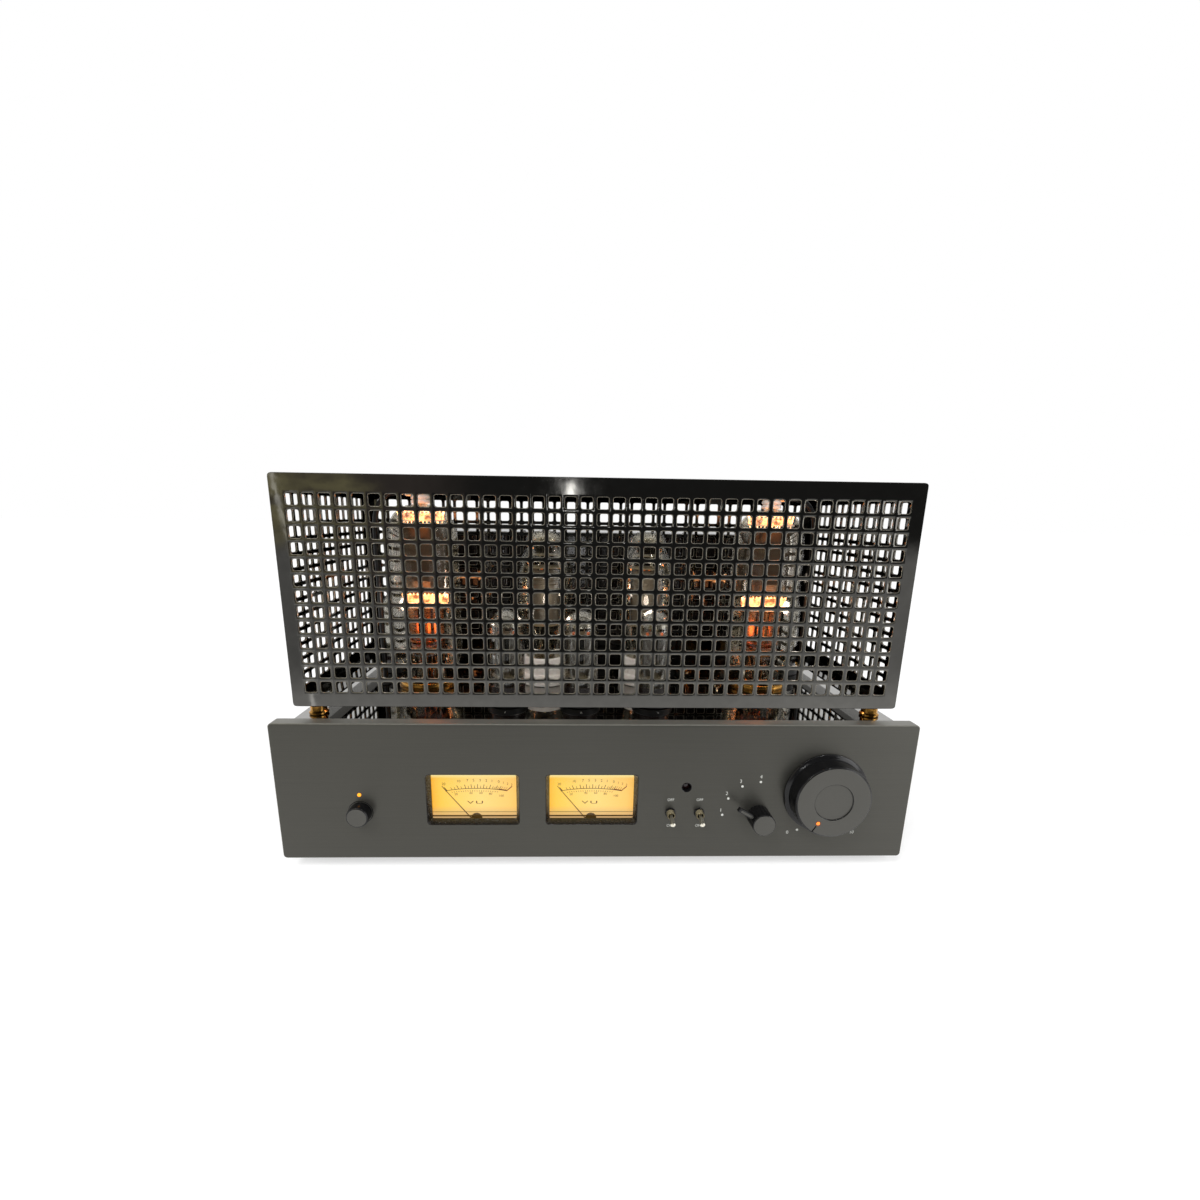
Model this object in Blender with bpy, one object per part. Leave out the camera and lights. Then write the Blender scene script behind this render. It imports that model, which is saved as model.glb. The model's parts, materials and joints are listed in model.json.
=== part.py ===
"""Valve integrated amplifier: thick front panel with two meters, controls, a deck of
valves under a perforated lift-off cage, and three transformer covers behind it.

Units are metres, +Z is up and the front panel faces -Y. The origin lies on the table,
under the middle of the whole amplifier.
"""

import math

import bmesh
import bpy
from mathutils import Matrix, Vector

# General clearances and mesh steps
FIT = 0.0003
OVERRUN = 0.002
MERGE = 0.000001
ROUND_STEPS = 24
SMALL_STEPS = 16
SMOOTH_ANGLE = math.radians(35)

# Front panel
PANEL_WIDTH = 0.480
PANEL_HEIGHT = 0.110
PANEL_THICKNESS = 0.010
PANEL_CORNER = 0.005
PANEL_EDGE = 0.0016
PANEL_BOTTOM = 0.010

# Feet and bottom cover
FOOT_RADIUS = 0.022
FOOT_HEIGHT = 0.0142
FOOT_PAD_RADIUS = 0.018
FOOT_PAD_HEIGHT = 0.0015
FOOT_WAIST_HEIGHT = 0.004
FOOT_TOP_EDGE = 0.001
FOOT_SIDE = 0.190
FOOT_FRONT_DEPTH = 0.045
FOOT_REAR_DEPTH = 0.315
COVER_THICKNESS = 0.0015
COVER_INSET = 0.0005
VENT_COUNT = 8
VENT_PITCH = 0.010
VENT_WIDTH = 0.004
VENT_LENGTH = 0.060
VENT_SIDE = 0.110
VENT_DEPTH = 0.100

# Chassis tray: one folded sheet, and the rear panel that closes it
TRAY_WIDTH = 0.452
TRAY_SHEET = 0.0015
TRAY_FLANGE = 0.012
DECK_BELOW_PANEL_TOP = 0.0006
CHASSIS_DEPTH = 0.350
REAR_THICKNESS = 0.002

# Perforated cage
GRID_PITCH = 0.0111
HOLE_SIDE = 0.008
GRID_COLUMNS = 39
GRID_ROWS = 13
GRID_DEPTH_COLUMNS = 13
CAGE_SHEET = 0.0015
CAGE_BAR_LAYER = 0.0006
CAGE_CUT_LAYER = 0.0007
CAGE_SIDE_MARGIN = 0.0104
CAGE_TOP_MARGIN = 0.013
CAGE_BOTTOM_MARGIN = 0.011
CAGE_END_MARGIN = 0.0193
CAGE_FLANGE = 0.022
CAGE_SETBACK = 0.0107
CAGE_GAP_ABOVE_DECK = 0.0097

# Brass pillars under the cage corners
PILLAR_RADIUS = 0.007
PILLAR_EDGE = 0.0008
PILLAR_INSET_SIDE = 0.0125
PILLAR_INSET_END = 0.0125

# Meters
METER_OPENING_WIDTH = 0.0638
METER_OPENING_HEIGHT = 0.0366
METER_OPENING_CORNER = 0.002
METER_BEVEL = 0.0024
METER_HEIGHT = 0.059
METER_LEFT_SIDE = -0.0942
METER_RIGHT_SIDE = -0.0046
METER_WINDOW_DEPTH = 0.0053
METER_WINDOW_THICKNESS = 0.0016
METER_CASE_WIDTH = 0.078
METER_CASE_BELOW = 0.0370
METER_CASE_ABOVE = 0.025
METER_CASE_DEPTH = 0.030
METER_CAVITY_DEPTH = 0.0042
METER_CAVITY_WALL = 0.004
NEEDLE_PIVOT_BELOW = 0.029
NEEDLE_LENGTH = 0.0420
NEEDLE_THICKNESS = 0.0006
NEEDLE_ROOT_WIDTH = 0.0012
NEEDLE_TIP_WIDTH = 0.0006
NEEDLE_HUB_RADIUS = 0.0032
NEEDLE_REST_ANGLE = math.radians(38.5)

# Volume knob
VOLUME_INSET = 0.066
VOLUME_SIDE = PANEL_WIDTH / 2 - VOLUME_INSET
VOLUME_HEIGHT = 0.065
VOLUME_FLANGE_RADIUS = 0.0322
VOLUME_FLANGE_THICKNESS = 0.0016
VOLUME_BODY_RADIUS = 0.0290
VOLUME_FACE_RADIUS = 0.0272
VOLUME_REACH = 0.0150
VOLUME_EDGE = 0.0012
VOLUME_DISH_RADIUS = 0.0143
VOLUME_DISH_DEPTH = 0.0030
VOLUME_MARK_RADIUS = 0.0199
VOLUME_LAMP_RADIUS = 0.0015
VOLUME_LAMP_DEPTH = 0.0008
VOLUME_NOTCH_START = 0.0225
VOLUME_NOTCH_WIDTH = 0.0012
VOLUME_NOTCH_DEPTH = 0.0008
VOLUME_REST_ANGLE = math.radians(149)

# Selector knob
SELECTOR_INSET = 0.1165
SELECTOR_SIDE = PANEL_WIDTH / 2 - SELECTOR_INSET
SELECTOR_HEIGHT = 0.0464
SELECTOR_RADIUS = 0.0088
SELECTOR_FLUTE_DEPTH = 0.0006
SELECTOR_FLUTES = 18
SELECTOR_REACH = 0.0155
SELECTOR_EDGE = 0.0010
POINTER_LENGTH = 0.0220
POINTER_WIDTH = 0.0034
POINTER_THICKNESS = 0.0030
POINTER_STANDOFF = 0.0090
POINTER_ROOT = 0.0050
SELECTOR_REST_ANGLE = math.radians(60)

# Shafts and the controls behind the panel
KNOB_GAP = 0.0005
SHAFT_RADIUS = 0.0030
SHAFT_INSERTION = 0.0200
SHAFT_CLEARANCE = 0.0003
BUSHING_RADIUS = 0.0042
BUSHING_CLEARANCE = 0.0003
SHAFT_FLOOR_GAP = 0.0020
SELECTOR_SWITCH_RADIUS = 0.0130
SELECTOR_SWITCH_DEPTH = 0.0280
VOLUME_CONTROL_RADIUS = 0.0140
VOLUME_CONTROL_DEPTH = 0.0340

# Power button and its switch
POWER_INSET = 0.0615
POWER_SIDE = POWER_INSET - PANEL_WIDTH / 2
POWER_HEIGHT = 0.049
BUTTON_RADIUS = 0.0083
BUTTON_REACH = 0.0110
BUTTON_EDGE = 0.0007
BUTTON_DISH = 0.0002
BUTTON_SKIRT = 0.0065
BUTTON_CLEARANCE = 0.0004
BUTTON_STEM_RADIUS = 0.0025
BUTTON_STEM_LENGTH = 0.0155
BUTTON_TRAVEL = 0.0030
POWER_SWITCH_SIDE = 0.022
POWER_SWITCH_DEPTH = 0.024

# Power indicator and remote sensor
INDICATOR_HEIGHT = 0.0633
INDICATOR_RADIUS = 0.0018
INDICATOR_REACH = 0.0014
INDICATOR_RIM_RADIUS = 0.0030
INDICATOR_BODY_LENGTH = 0.0040
SENSOR_SIDE = 0.0672
SENSOR_HEIGHT = 0.0695
SENSOR_RADIUS = 0.0034
SENSOR_RECESS = 0.0030
SENSOR_DOME = 0.0014
SENSOR_RIM_RADIUS = 0.0050
SENSOR_BODY_LENGTH = 0.0025
SENSOR_BEVEL = 0.0008

# Toggle switches
TOGGLE_LEFT_SIDE = 0.0556
TOGGLE_RIGHT_SIDE = 0.0778
TOGGLE_HEIGHT = 0.0485
TOGGLE_BUSHING_RADIUS = 0.003175
TOGGLE_BORE_RADIUS = 0.0024
TOGGLE_BUSHING_REACH = 0.0055
TOGGLE_BORE_FLOOR = 0.0004
TOGGLE_BODY_SIDE = 0.013
TOGGLE_BODY_DEPTH = 0.014
TOGGLE_PIVOT_REACH = 0.0027
TOGGLE_LEVER_LENGTH = 0.0116
TOGGLE_BALL_RADIUS = 0.0019
TOGGLE_NECK_RADIUS = 0.0011
TOGGLE_TIP_RADIUS = 0.0015
TOGGLE_REST_ANGLE = math.radians(14)

# Large output valves
OUTPUT_SIDE = 0.147
OUTPUT_DEPTH = 0.085
OUTPUT_BASE_RADIUS = 0.0258
OUTPUT_BASE_SINK = 0.0250
OUTPUT_BASE_RISE = 0.0076
OUTPUT_BASE_RIM = 0.0010
OUTPUT_NECK_RADIUS = 0.0230
OUTPUT_CUP_DEPTH = 0.0096
OUTPUT_BULB_RADIUS = 0.0295
OUTPUT_BULB_TOP = 0.1566
OUTPUT_NIPPLE_RADIUS = 0.0042
OUTPUT_NIPPLE_HEIGHT = 0.0050
OUTPUT_GLASS = 0.0012
OUTPUT_STEM_RADIUS = 0.0130
OUTPUT_STEM_HEIGHT = 0.0300
OUTPUT_ROD_RADIUS = 0.0030
OUTPUT_ROD_TOP = 0.1440
ANODE_BOTTOM = 0.0836
ANODE_TOP = 0.1396
ANODE_WIDTH = 0.0420
ANODE_DEPTH = 0.0250
ANODE_CORNER = 0.0060
DECK_HOLE_CLEARANCE = 0.0005

# Anode caps and their leads
CAP_RADIUS = 0.0080
CAP_HEIGHT = 0.0135
CAP_EDGE = 0.0015
CAP_BORE_CLEARANCE = 0.0004
LEAD_RADIUS = 0.0022
LEAD_OUTBOARD = 0.0390
LEAD_STEPS_PER_SPAN = 4

# Coke-bottle driver valves
DRIVER_SIDE = 0.0455
DRIVER_DEPTH = 0.100
DRIVER_BASE_RADIUS = 0.0225
DRIVER_BASE_HEIGHT = 0.0243
DRIVER_BASE_EDGE = 0.0012
DRIVER_CUP_DEPTH = 0.0030
DRIVER_NECK_RADIUS = 0.0160
DRIVER_BULB_RADIUS = 0.0252
DRIVER_BULB_TOP = 0.1358
DRIVER_GLASS = 0.0014
DRIVER_STEM_RADIUS = 0.0080
DRIVER_STEM_HEIGHT = 0.0400
DRIVER_ROD_RADIUS = 0.0020
DRIVER_ROD_TOP = 0.1150
DRIVER_PLATE_BOTTOM = 0.0560
DRIVER_PLATE_TOP = 0.1020
DRIVER_PLATE_WIDTH = 0.0280
DRIVER_PLATE_DEPTH = 0.0160
DRIVER_PLATE_CORNER = 0.0040

# Small octal valves
SMALL_FRONT_MIDDLE = -0.0134
SMALL_FRONT_SPACING = 0.059
SMALL_FRONT_DEPTH = 0.039
SMALL_REAR_SIDE = 0.187
SMALL_REAR_DEPTH = 0.133
SMALL_SOCKET_RADIUS = 0.0165
SMALL_SOCKET_HEIGHT = 0.0060
SMALL_BASE_RADIUS = 0.0148
SMALL_BASE_HEIGHT = 0.0160
SMALL_BULB_RADIUS = 0.0140
SMALL_HEIGHT = 0.0770

# Transformer covers
COVER_ROW_SIDE = 0.208
SIDE_COVER_WIDTH = 0.1215
MIDDLE_COVER_WIDTH = 0.168
TRANSFORMER_HEIGHT = 0.1316
TRANSFORMER_FRONT = 0.200
TRANSFORMER_LENGTH = 0.148
TRANSFORMER_CORNER = 0.006
TRANSFORMER_TOP_EDGE = 0.003
TRANSFORMER_SHEET = 0.0015
SIDE_CORE_WIDTH = 0.084
MIDDLE_CORE_WIDTH = 0.102
CORE_LENGTH = 0.096
CORE_HEIGHT = 0.098
COIL_OVERHANG = 0.012
COIL_HEIGHT_SHARE = 0.6

# Circuit board on the bottom cover
BOARD_WIDTH = 0.300
BOARD_LENGTH = 0.180
BOARD_THICKNESS = 0.0016
BOARD_FRONT = 0.100
BOARD_LEG_HEIGHT = 0.012
BOARD_LEG_RADIUS = 0.004
BOARD_LEG_INSET = 0.012
CAPACITOR_RADIUS = 0.0150
CAPACITOR_HEIGHT = 0.0450
CAPACITOR_COUNT = 4
CAPACITOR_PITCH = 0.040
CAPACITOR_BACK = 0.130

# Rear sockets and terminals
INLET_SIDE = -0.175
INLET_HEIGHT = 0.062
INLET_WIDTH = 0.0274
INLET_TALL = 0.0200
INLET_CORNER = 0.003
INLET_FLANGE_WIDTH = 0.0480
INLET_FLANGE_TALL = 0.0270
INLET_FLANGE = 0.0030
INLET_BODY_DEPTH = 0.0190
INLET_WALL = 0.0016
INLET_CAVITY_DEPTH = 0.0160
PIN_WIDTH = 0.0020
PIN_TALL = 0.0040
PIN_LENGTH = 0.0130
PIN_SIDE = 0.0070
PIN_DROP = 0.0020
PIN_RISE = 0.0040
STRIP_THICKNESS = 0.0020
STRIP_CORNER = 0.003
JACK_SIDE = 0.155
JACK_HEIGHT = 0.066
JACK_STRIP_WIDTH = 0.0980
JACK_STRIP_TALL = 0.0440
JACK_COLUMNS = 4
JACK_PITCH = 0.0220
JACK_ROW_PITCH = 0.0200
JACK_COLLAR_RADIUS = 0.0065
JACK_COLLAR_HEIGHT = 0.0020
JACK_RADIUS = 0.0042
JACK_LENGTH = 0.0100
JACK_BORE_RADIUS = 0.0016
JACK_BORE_DEPTH = 0.0080
POST_LEFT_SIDE = 0.040
POST_RIGHT_SIDE = -0.085
POST_HEIGHT = 0.066
POST_STRIP_WIDTH = 0.0900
POST_STRIP_TALL = 0.0300
POST_COUNT = 3
POST_PITCH = 0.0270
POST_COLLAR_RADIUS = 0.0085
POST_COLLAR_HEIGHT = 0.0040
POST_RADIUS = 0.0062
POST_LENGTH = 0.0180
POST_CAP_RADIUS = 0.0075
POST_CAP_LENGTH = 0.0100
POST_EDGE = 0.0010

# Places that follow from the sizes above
REAR_REACH = PANEL_THICKNESS + CHASSIS_DEPTH + FIT + STRIP_THICKNESS + POST_LENGTH
FRONT_Y = (SELECTOR_REACH - REAR_REACH) / 2
PANEL_TOP = PANEL_BOTTOM + PANEL_HEIGHT
PANEL_BACK = FRONT_Y + PANEL_THICKNESS
DECK_TOP = PANEL_TOP - DECK_BELOW_PANEL_TOP
CAGE_FRONT = FRONT_Y + CAGE_SETBACK
REAR_FACE = PANEL_BACK + CHASSIS_DEPTH
COVER_TOP = FOOT_HEIGHT + FIT + COVER_THICKNESS
TRAY_BOTTOM = COVER_TOP + FIT


def grid_span(count):
    """Length from the first hole's edge to the last hole's edge."""
    return (count - 1) * GRID_PITCH + HOLE_SIDE


CAGE_WIDTH = grid_span(GRID_COLUMNS) + 2 * CAGE_SIDE_MARGIN
CAGE_HEIGHT = grid_span(GRID_ROWS) + CAGE_TOP_MARGIN + CAGE_BOTTOM_MARGIN
CAGE_DEPTH = grid_span(GRID_DEPTH_COLUMNS) + 2 * CAGE_END_MARGIN
CAGE_BOTTOM = DECK_TOP + CAGE_GAP_ABOVE_DECK
CAGE_TOP = CAGE_BOTTOM + CAGE_HEIGHT

# Colour, metallic and roughness of each finish
FINISHES = {
    "anodised_panel": ((0.052, 0.050, 0.045), 0.85, 0.42),
    "gloss_black_steel": ((0.012, 0.012, 0.013), 0.30, 0.18),
    "black_steel": ((0.030, 0.030, 0.032), 0.40, 0.45),
    "black_knob": ((0.020, 0.020, 0.021), 0.60, 0.30),
    "brass": ((0.560, 0.380, 0.130), 1.00, 0.28),
    "chrome": ((0.620, 0.620, 0.620), 1.00, 0.12),
    "clear_glass": ((0.800, 0.820, 0.820), 0.00, 0.05),
    "silvered_glass": ((0.500, 0.500, 0.490), 0.40, 0.15),
    "grey_anode": ((0.180, 0.175, 0.170), 0.70, 0.55),
    "white_ceramic": ((0.800, 0.780, 0.740), 0.00, 0.35),
    "meter_face": ((0.900, 0.620, 0.180), 0.00, 0.60),
    "amber_lens": ((0.900, 0.480, 0.080), 0.00, 0.30),
    "dark_lens": ((0.030, 0.010, 0.010), 0.00, 0.15),
    "needle_black": ((0.060, 0.030, 0.015), 0.00, 0.50),
    "rubber": ((0.020, 0.020, 0.020), 0.00, 0.80),
    "black_plastic": ((0.025, 0.025, 0.025), 0.00, 0.50),
    "green_board": ((0.020, 0.120, 0.050), 0.00, 0.50),
    "laminated_iron": ((0.120, 0.110, 0.100), 0.80, 0.60),
}


def finish_material(finish):
    """Return the material of a finish, made the first time it is asked for."""
    material = bpy.data.materials.get(finish)
    if material is None:
        colour, metallic, roughness = FINISHES[finish]
        material = bpy.data.materials.new(finish)
        material.use_nodes = True
        shader = material.node_tree.nodes["Principled BSDF"]
        shader.inputs["Base Color"].default_value = (*colour, 1)
        shader.inputs["Metallic"].default_value = metallic
        shader.inputs["Roughness"].default_value = roughness
    return material


def finished(name, shape, finish):
    """Turn an edit mesh into a smooth-shaded object in the scene."""
    mesh = bpy.data.meshes.new(name)
    shape.to_mesh(mesh)
    shape.free()
    mesh.shade_smooth()
    mesh.set_sharp_from_angle(angle=SMOOTH_ANGLE)
    mesh.materials.append(finish_material(finish))
    part = bpy.data.objects.new(name, mesh)
    bpy.context.scene.collection.objects.link(part)
    return part


def turned(name, profile, finish, steps=ROUND_STEPS, ring=False):
    """Turn (radius, height) points about +Z; a ring's profile closes on itself."""
    shape = bmesh.new()
    points = [shape.verts.new((radius, 0, height)) for radius, height in profile]
    edges = [shape.edges.new(pair) for pair in zip(points, points[1:])]
    if ring:
        edges.append(shape.edges.new((points[-1], points[0])))
    bmesh.ops.spin(shape, geom=points + edges, cent=(0, 0, 0), axis=(0, 0, 1),
                   angle=math.tau, steps=steps, use_merge=True)
    bmesh.ops.remove_doubles(shape, verts=shape.verts, dist=MERGE)
    bmesh.ops.recalc_face_normals(shape, faces=shape.faces)
    return finished(name, shape, finish)


def lofted(name, rings, finish):
    """Join rings of equally many points with quads and cap both ends."""
    shape = bmesh.new()
    loops = [[shape.verts.new(point) for point in ring] for ring in rings]
    count = len(loops[0])
    for lower, upper in zip(loops, loops[1:]):
        for index in range(count):
            following = (index + 1) % count
            shape.faces.new((lower[index], lower[following], upper[following], upper[index]))
    shape.faces.new(list(reversed(loops[0])))
    shape.faces.new(loops[-1])
    bmesh.ops.recalc_face_normals(shape, faces=shape.faces)
    return finished(name, shape, finish)


def rounded_rectangle(width, height, corner, steps=4):
    """Outline of a rectangle with round corners, anticlockwise from the lower right."""
    outline = []
    centres = ((1, -1, -math.pi / 2), (1, 1, 0), (-1, 1, math.pi / 2), (-1, -1, math.pi))
    for side, level, start in centres:
        for step in range(steps + 1):
            angle = start + step * math.pi / 2 / steps
            outline.append((side * (width / 2 - corner) + corner * math.cos(angle),
                            level * (height / 2 - corner) + corner * math.sin(angle)))
    return outline


def circle(radius, steps):
    """Outline of a circle."""
    return [(radius * math.cos(step * math.tau / steps), radius * math.sin(step * math.tau / steps))
            for step in range(steps)]


def raised(outline, height):
    """Lift a flat outline to a height."""
    return [(across, along, height) for across, along in outline]


def boxes(name, corners, finish):
    """One mesh of separate boxes, each given by its lowest and highest corners."""
    shape = bmesh.new()
    for low, high in corners:
        low, high = Vector(low), Vector(high)
        size = high - low
        place = Matrix.Translation((low + high) / 2) @ Matrix.Diagonal((*size, 1))
        bmesh.ops.create_cube(shape, size=1, matrix=place)
    return finished(name, shape, finish)


def box(name, low, high, finish):
    """A single box."""
    return boxes(name, [(low, high)], finish)


def boolean(part, tool, operation):
    """Apply another solid to a part, and hide that solid as a construction aid."""
    tool.hide_render = True
    tool.display_type = "WIRE"
    modifier = part.modifiers.new(tool.name, "BOOLEAN")
    modifier.operation = operation
    modifier.solver = "EXACT"
    modifier.object = tool


def cut(part, tool):
    """Take a solid out of a part."""
    boolean(part, tool, "DIFFERENCE")


def fuse(part, tool):
    """Join a solid to a part."""
    boolean(part, tool, "UNION")


def round_cutter(name, radius, low, high, finish="black_steel", steps=ROUND_STEPS):
    """Cylinder along +Z between two heights."""
    outline = circle(radius, steps)
    return lofted(name, [raised(outline, low), raised(outline, high)], finish)


def on_panel(part, side, height, reach=0):
    """Turn a part's +Z to the front and place it on the panel's front face."""
    part.rotation_euler = (math.pi / 2, 0, 0)
    part.location = (side, FRONT_Y - reach, height)
    return part


def on_rear(part, side, height):
    """Turn a part's +Z to the rear and place it on the rear panel's outer face."""
    part.rotation_euler = (-math.pi / 2, 0, 0)
    part.location = (side, REAR_FACE + FIT, height)
    return part


def on_deck(part, side, depth):
    """Stand a part on the deck at a depth behind the cage's front."""
    part.location = (side, CAGE_FRONT + depth, DECK_TOP + FIT)
    return part


def panel_hole(panel, name, side, height, radius, bevel=0):
    """Drill the panel, with an optional bevelled mouth."""
    outline = circle(radius, ROUND_STEPS)
    mouth = circle(radius + bevel + OVERRUN, ROUND_STEPS) if bevel else outline
    rings = [raised(outline, -PANEL_THICKNESS - OVERRUN), raised(outline, -bevel)]
    rings.append(raised(mouth, OVERRUN))
    cut(panel, on_panel(lofted(name, rings, "black_steel"), side, height))


def meter_opening(panel, name, side):
    """Cut one meter's window into the panel, wider at the front by its bevel."""
    inner = rounded_rectangle(METER_OPENING_WIDTH, METER_OPENING_HEIGHT, METER_OPENING_CORNER)
    spread = METER_BEVEL + OVERRUN
    outer = rounded_rectangle(METER_OPENING_WIDTH + 2 * spread, METER_OPENING_HEIGHT + 2 * spread,
                              METER_OPENING_CORNER + spread)
    rings = [raised(inner, -PANEL_THICKNESS - OVERRUN), raised(inner, -METER_BEVEL)]
    rings.append(raised(outer, OVERRUN))
    cut(panel, on_panel(lofted(name, rings, "black_steel"), side, METER_HEIGHT))


def make_front_panel():
    """Thick panel with softened front edges, two meter windows and the control holes."""
    def ring(inset, depth):
        return raised(rounded_rectangle(PANEL_WIDTH - 2 * inset, PANEL_HEIGHT - 2 * inset,
                                        PANEL_CORNER - inset), -depth)
    soft_share = 0.3
    rings = [ring(0, PANEL_THICKNESS), ring(0, PANEL_EDGE),
             ring(soft_share * PANEL_EDGE, soft_share * PANEL_EDGE), ring(PANEL_EDGE, 0)]
    panel = lofted("front_panel", rings, "anodised_panel")
    on_panel(panel, 0, PANEL_BOTTOM + PANEL_HEIGHT / 2)
    meter_opening(panel, "left_meter_opening", METER_LEFT_SIDE)
    meter_opening(panel, "right_meter_opening", METER_RIGHT_SIDE)
    shaft_hole = BUSHING_RADIUS + FIT
    panel_hole(panel, "volume_hole", VOLUME_SIDE, VOLUME_HEIGHT, shaft_hole)
    panel_hole(panel, "selector_hole", SELECTOR_SIDE, SELECTOR_HEIGHT, shaft_hole)
    panel_hole(panel, "power_hole", POWER_SIDE, POWER_HEIGHT, BUTTON_RADIUS + BUTTON_CLEARANCE)
    panel_hole(panel, "indicator_hole", POWER_SIDE, INDICATOR_HEIGHT, INDICATOR_RADIUS + FIT)
    panel_hole(panel, "sensor_hole", SENSOR_SIDE, SENSOR_HEIGHT, SENSOR_RADIUS + FIT, SENSOR_BEVEL)
    for name, side in (("left_toggle_hole", TOGGLE_LEFT_SIDE), ("right_toggle_hole", TOGGLE_RIGHT_SIDE)):
        panel_hole(panel, name, side, TOGGLE_HEIGHT, TOGGLE_BUSHING_RADIUS + FIT)


def folded_outline(width, bottom, top, sheet, flange):
    """Section of a sheet folded down both sides and turned in at the bottom."""
    half = width / 2
    return [(-half, bottom), (-half, top), (half, top), (half, bottom), (half - flange, bottom),
            (half - flange, bottom + sheet), (half - sheet, bottom + sheet), (half - sheet, top - sheet),
            (-half + sheet, top - sheet), (-half + sheet, bottom + sheet),
            (-half + flange, bottom + sheet), (-half + flange, bottom)]


def folded_sheet(name, outline, start, end, finish):
    """Run a folded section from one depth to another."""
    rings = [[(across, depth, height) for across, height in outline] for depth in (start, end)]
    return lofted(name, rings, finish)


def make_chassis():
    """Folded tray whose top is the deck, the rear panel, the bottom cover and four feet."""
    outline = folded_outline(TRAY_WIDTH, TRAY_BOTTOM, DECK_TOP, TRAY_SHEET, TRAY_FLANGE)
    tray_end = REAR_FACE - REAR_THICKNESS - FIT
    tray = folded_sheet("chassis_tray", outline, PANEL_BACK + FIT, tray_end, "gloss_black_steel")
    for name, side in (("left", -1), ("right", 1)):
        place = (side * OUTPUT_SIDE, CAGE_FRONT + OUTPUT_DEPTH, DECK_TOP)
        hole = round_cutter(name + "_valve_hole", OUTPUT_BASE_RADIUS + DECK_HOLE_CLEARANCE,
                            -TRAY_SHEET - OVERRUN, OVERRUN)
        hole.location = place
        cut(tray, hole)
        hole = round_cutter(name + "_lead_hole", LEAD_RADIUS + DECK_HOLE_CLEARANCE,
                            -TRAY_SHEET - OVERRUN, OVERRUN, steps=SMALL_STEPS)
        hole.location = (side * (OUTPUT_SIDE + LEAD_OUTBOARD), place[1], DECK_TOP)
        cut(tray, hole)

    rear = box("rear_panel", (-TRAY_WIDTH / 2, REAR_FACE - REAR_THICKNESS, TRAY_BOTTOM),
               (TRAY_WIDTH / 2, REAR_FACE, DECK_TOP), "black_steel")
    window = rounded_rectangle(INLET_WIDTH + 2 * FIT, INLET_TALL + 2 * FIT, INLET_CORNER + FIT)
    tool = lofted("inlet_window", [raised(window, -REAR_THICKNESS - OVERRUN), raised(window, OVERRUN)],
                  "black_steel")
    cut(rear, on_rear(tool, INLET_SIDE, INLET_HEIGHT))

    half = TRAY_WIDTH / 2 - COVER_INSET
    cover = box("bottom_cover", (-half, PANEL_BACK + FIT, FOOT_HEIGHT + FIT),
                (half, REAR_FACE, COVER_TOP), "black_steel")
    slots = []
    for side in (-VENT_SIDE, VENT_SIDE):
        for index in range(VENT_COUNT):
            depth = PANEL_BACK + VENT_DEPTH + index * VENT_PITCH
            slots.append(((side - VENT_LENGTH / 2, depth - VENT_WIDTH / 2, FOOT_HEIGHT - OVERRUN),
                          (side + VENT_LENGTH / 2, depth + VENT_WIDTH / 2, COVER_TOP + OVERRUN)))
    cut(cover, boxes("vent_slots", slots, "black_steel"))

    profile = [(0, 0), (FOOT_PAD_RADIUS, 0), (FOOT_PAD_RADIUS + FOOT_PAD_HEIGHT, FOOT_PAD_HEIGHT),
               (FOOT_RADIUS, FOOT_WAIST_HEIGHT), (FOOT_RADIUS, FOOT_HEIGHT - FOOT_TOP_EDGE),
               (FOOT_RADIUS - FOOT_TOP_EDGE, FOOT_HEIGHT), (0, FOOT_HEIGHT)]
    for end, depth in (("front", FOOT_FRONT_DEPTH), ("rear", FOOT_REAR_DEPTH)):
        for name, side in (("left", -FOOT_SIDE), ("right", FOOT_SIDE)):
            foot = turned(f"{end}_{name}_foot", profile, "rubber", SMALL_STEPS)
            foot.location = (side, FRONT_Y + depth, 0)


def bars(across_low, across_high, along_low, count):
    """Slots of one layer: each runs the whole way across, and they repeat along."""
    return [(across_low, across_high, along_low + index * GRID_PITCH,
             along_low + index * GRID_PITCH + HOLE_SIDE) for index in range(count)]


def open_wall(sheet, name, slots_outer, slots_inner, middle):
    """Open a sheet as two crossed layers of bars, joined only at the sheet's margins."""
    cut(sheet, boxes(name + "_outer_slots", slots_outer, "black_steel"))
    cut(sheet, boxes(name + "_inner_slots", slots_inner, "black_steel"))
    cut(sheet, boxes(name + "_middle", middle, "black_steel"))


def make_cage_end(name, outer_y, inward):
    """Front or rear wall of the cage; inward is the direction of its inner face."""
    inner_y = outer_y + inward * CAGE_SHEET
    low_y, high_y = sorted((outer_y, inner_y))
    wall = box(name, (-CAGE_WIDTH / 2, low_y, CAGE_BOTTOM), (CAGE_WIDTH / 2, high_y, CAGE_TOP),
               "gloss_black_steel")
    left = -grid_span(GRID_COLUMNS) / 2
    bottom = CAGE_BOTTOM + CAGE_BOTTOM_MARGIN
    top = bottom + grid_span(GRID_ROWS)
    outer = sorted((outer_y - inward * OVERRUN, outer_y + inward * CAGE_CUT_LAYER))
    inner = sorted((inner_y + inward * OVERRUN, inner_y - inward * CAGE_CUT_LAYER))
    middle = sorted((outer_y + inward * CAGE_BAR_LAYER, inner_y - inward * CAGE_BAR_LAYER))
    outer_slots = [((start, outer[0], low), (stop, outer[1], high))
                   for low, high, start, stop in bars(bottom, top, left, GRID_COLUMNS)]
    inner_slots = [((low, inner[0], start), (high, inner[1], stop))
                   for low, high, start, stop in bars(left, -left, bottom, GRID_ROWS)]
    open_wall(wall, name, outer_slots, inner_slots,
              [((left, middle[0], bottom), (-left, middle[1], top))])


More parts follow.
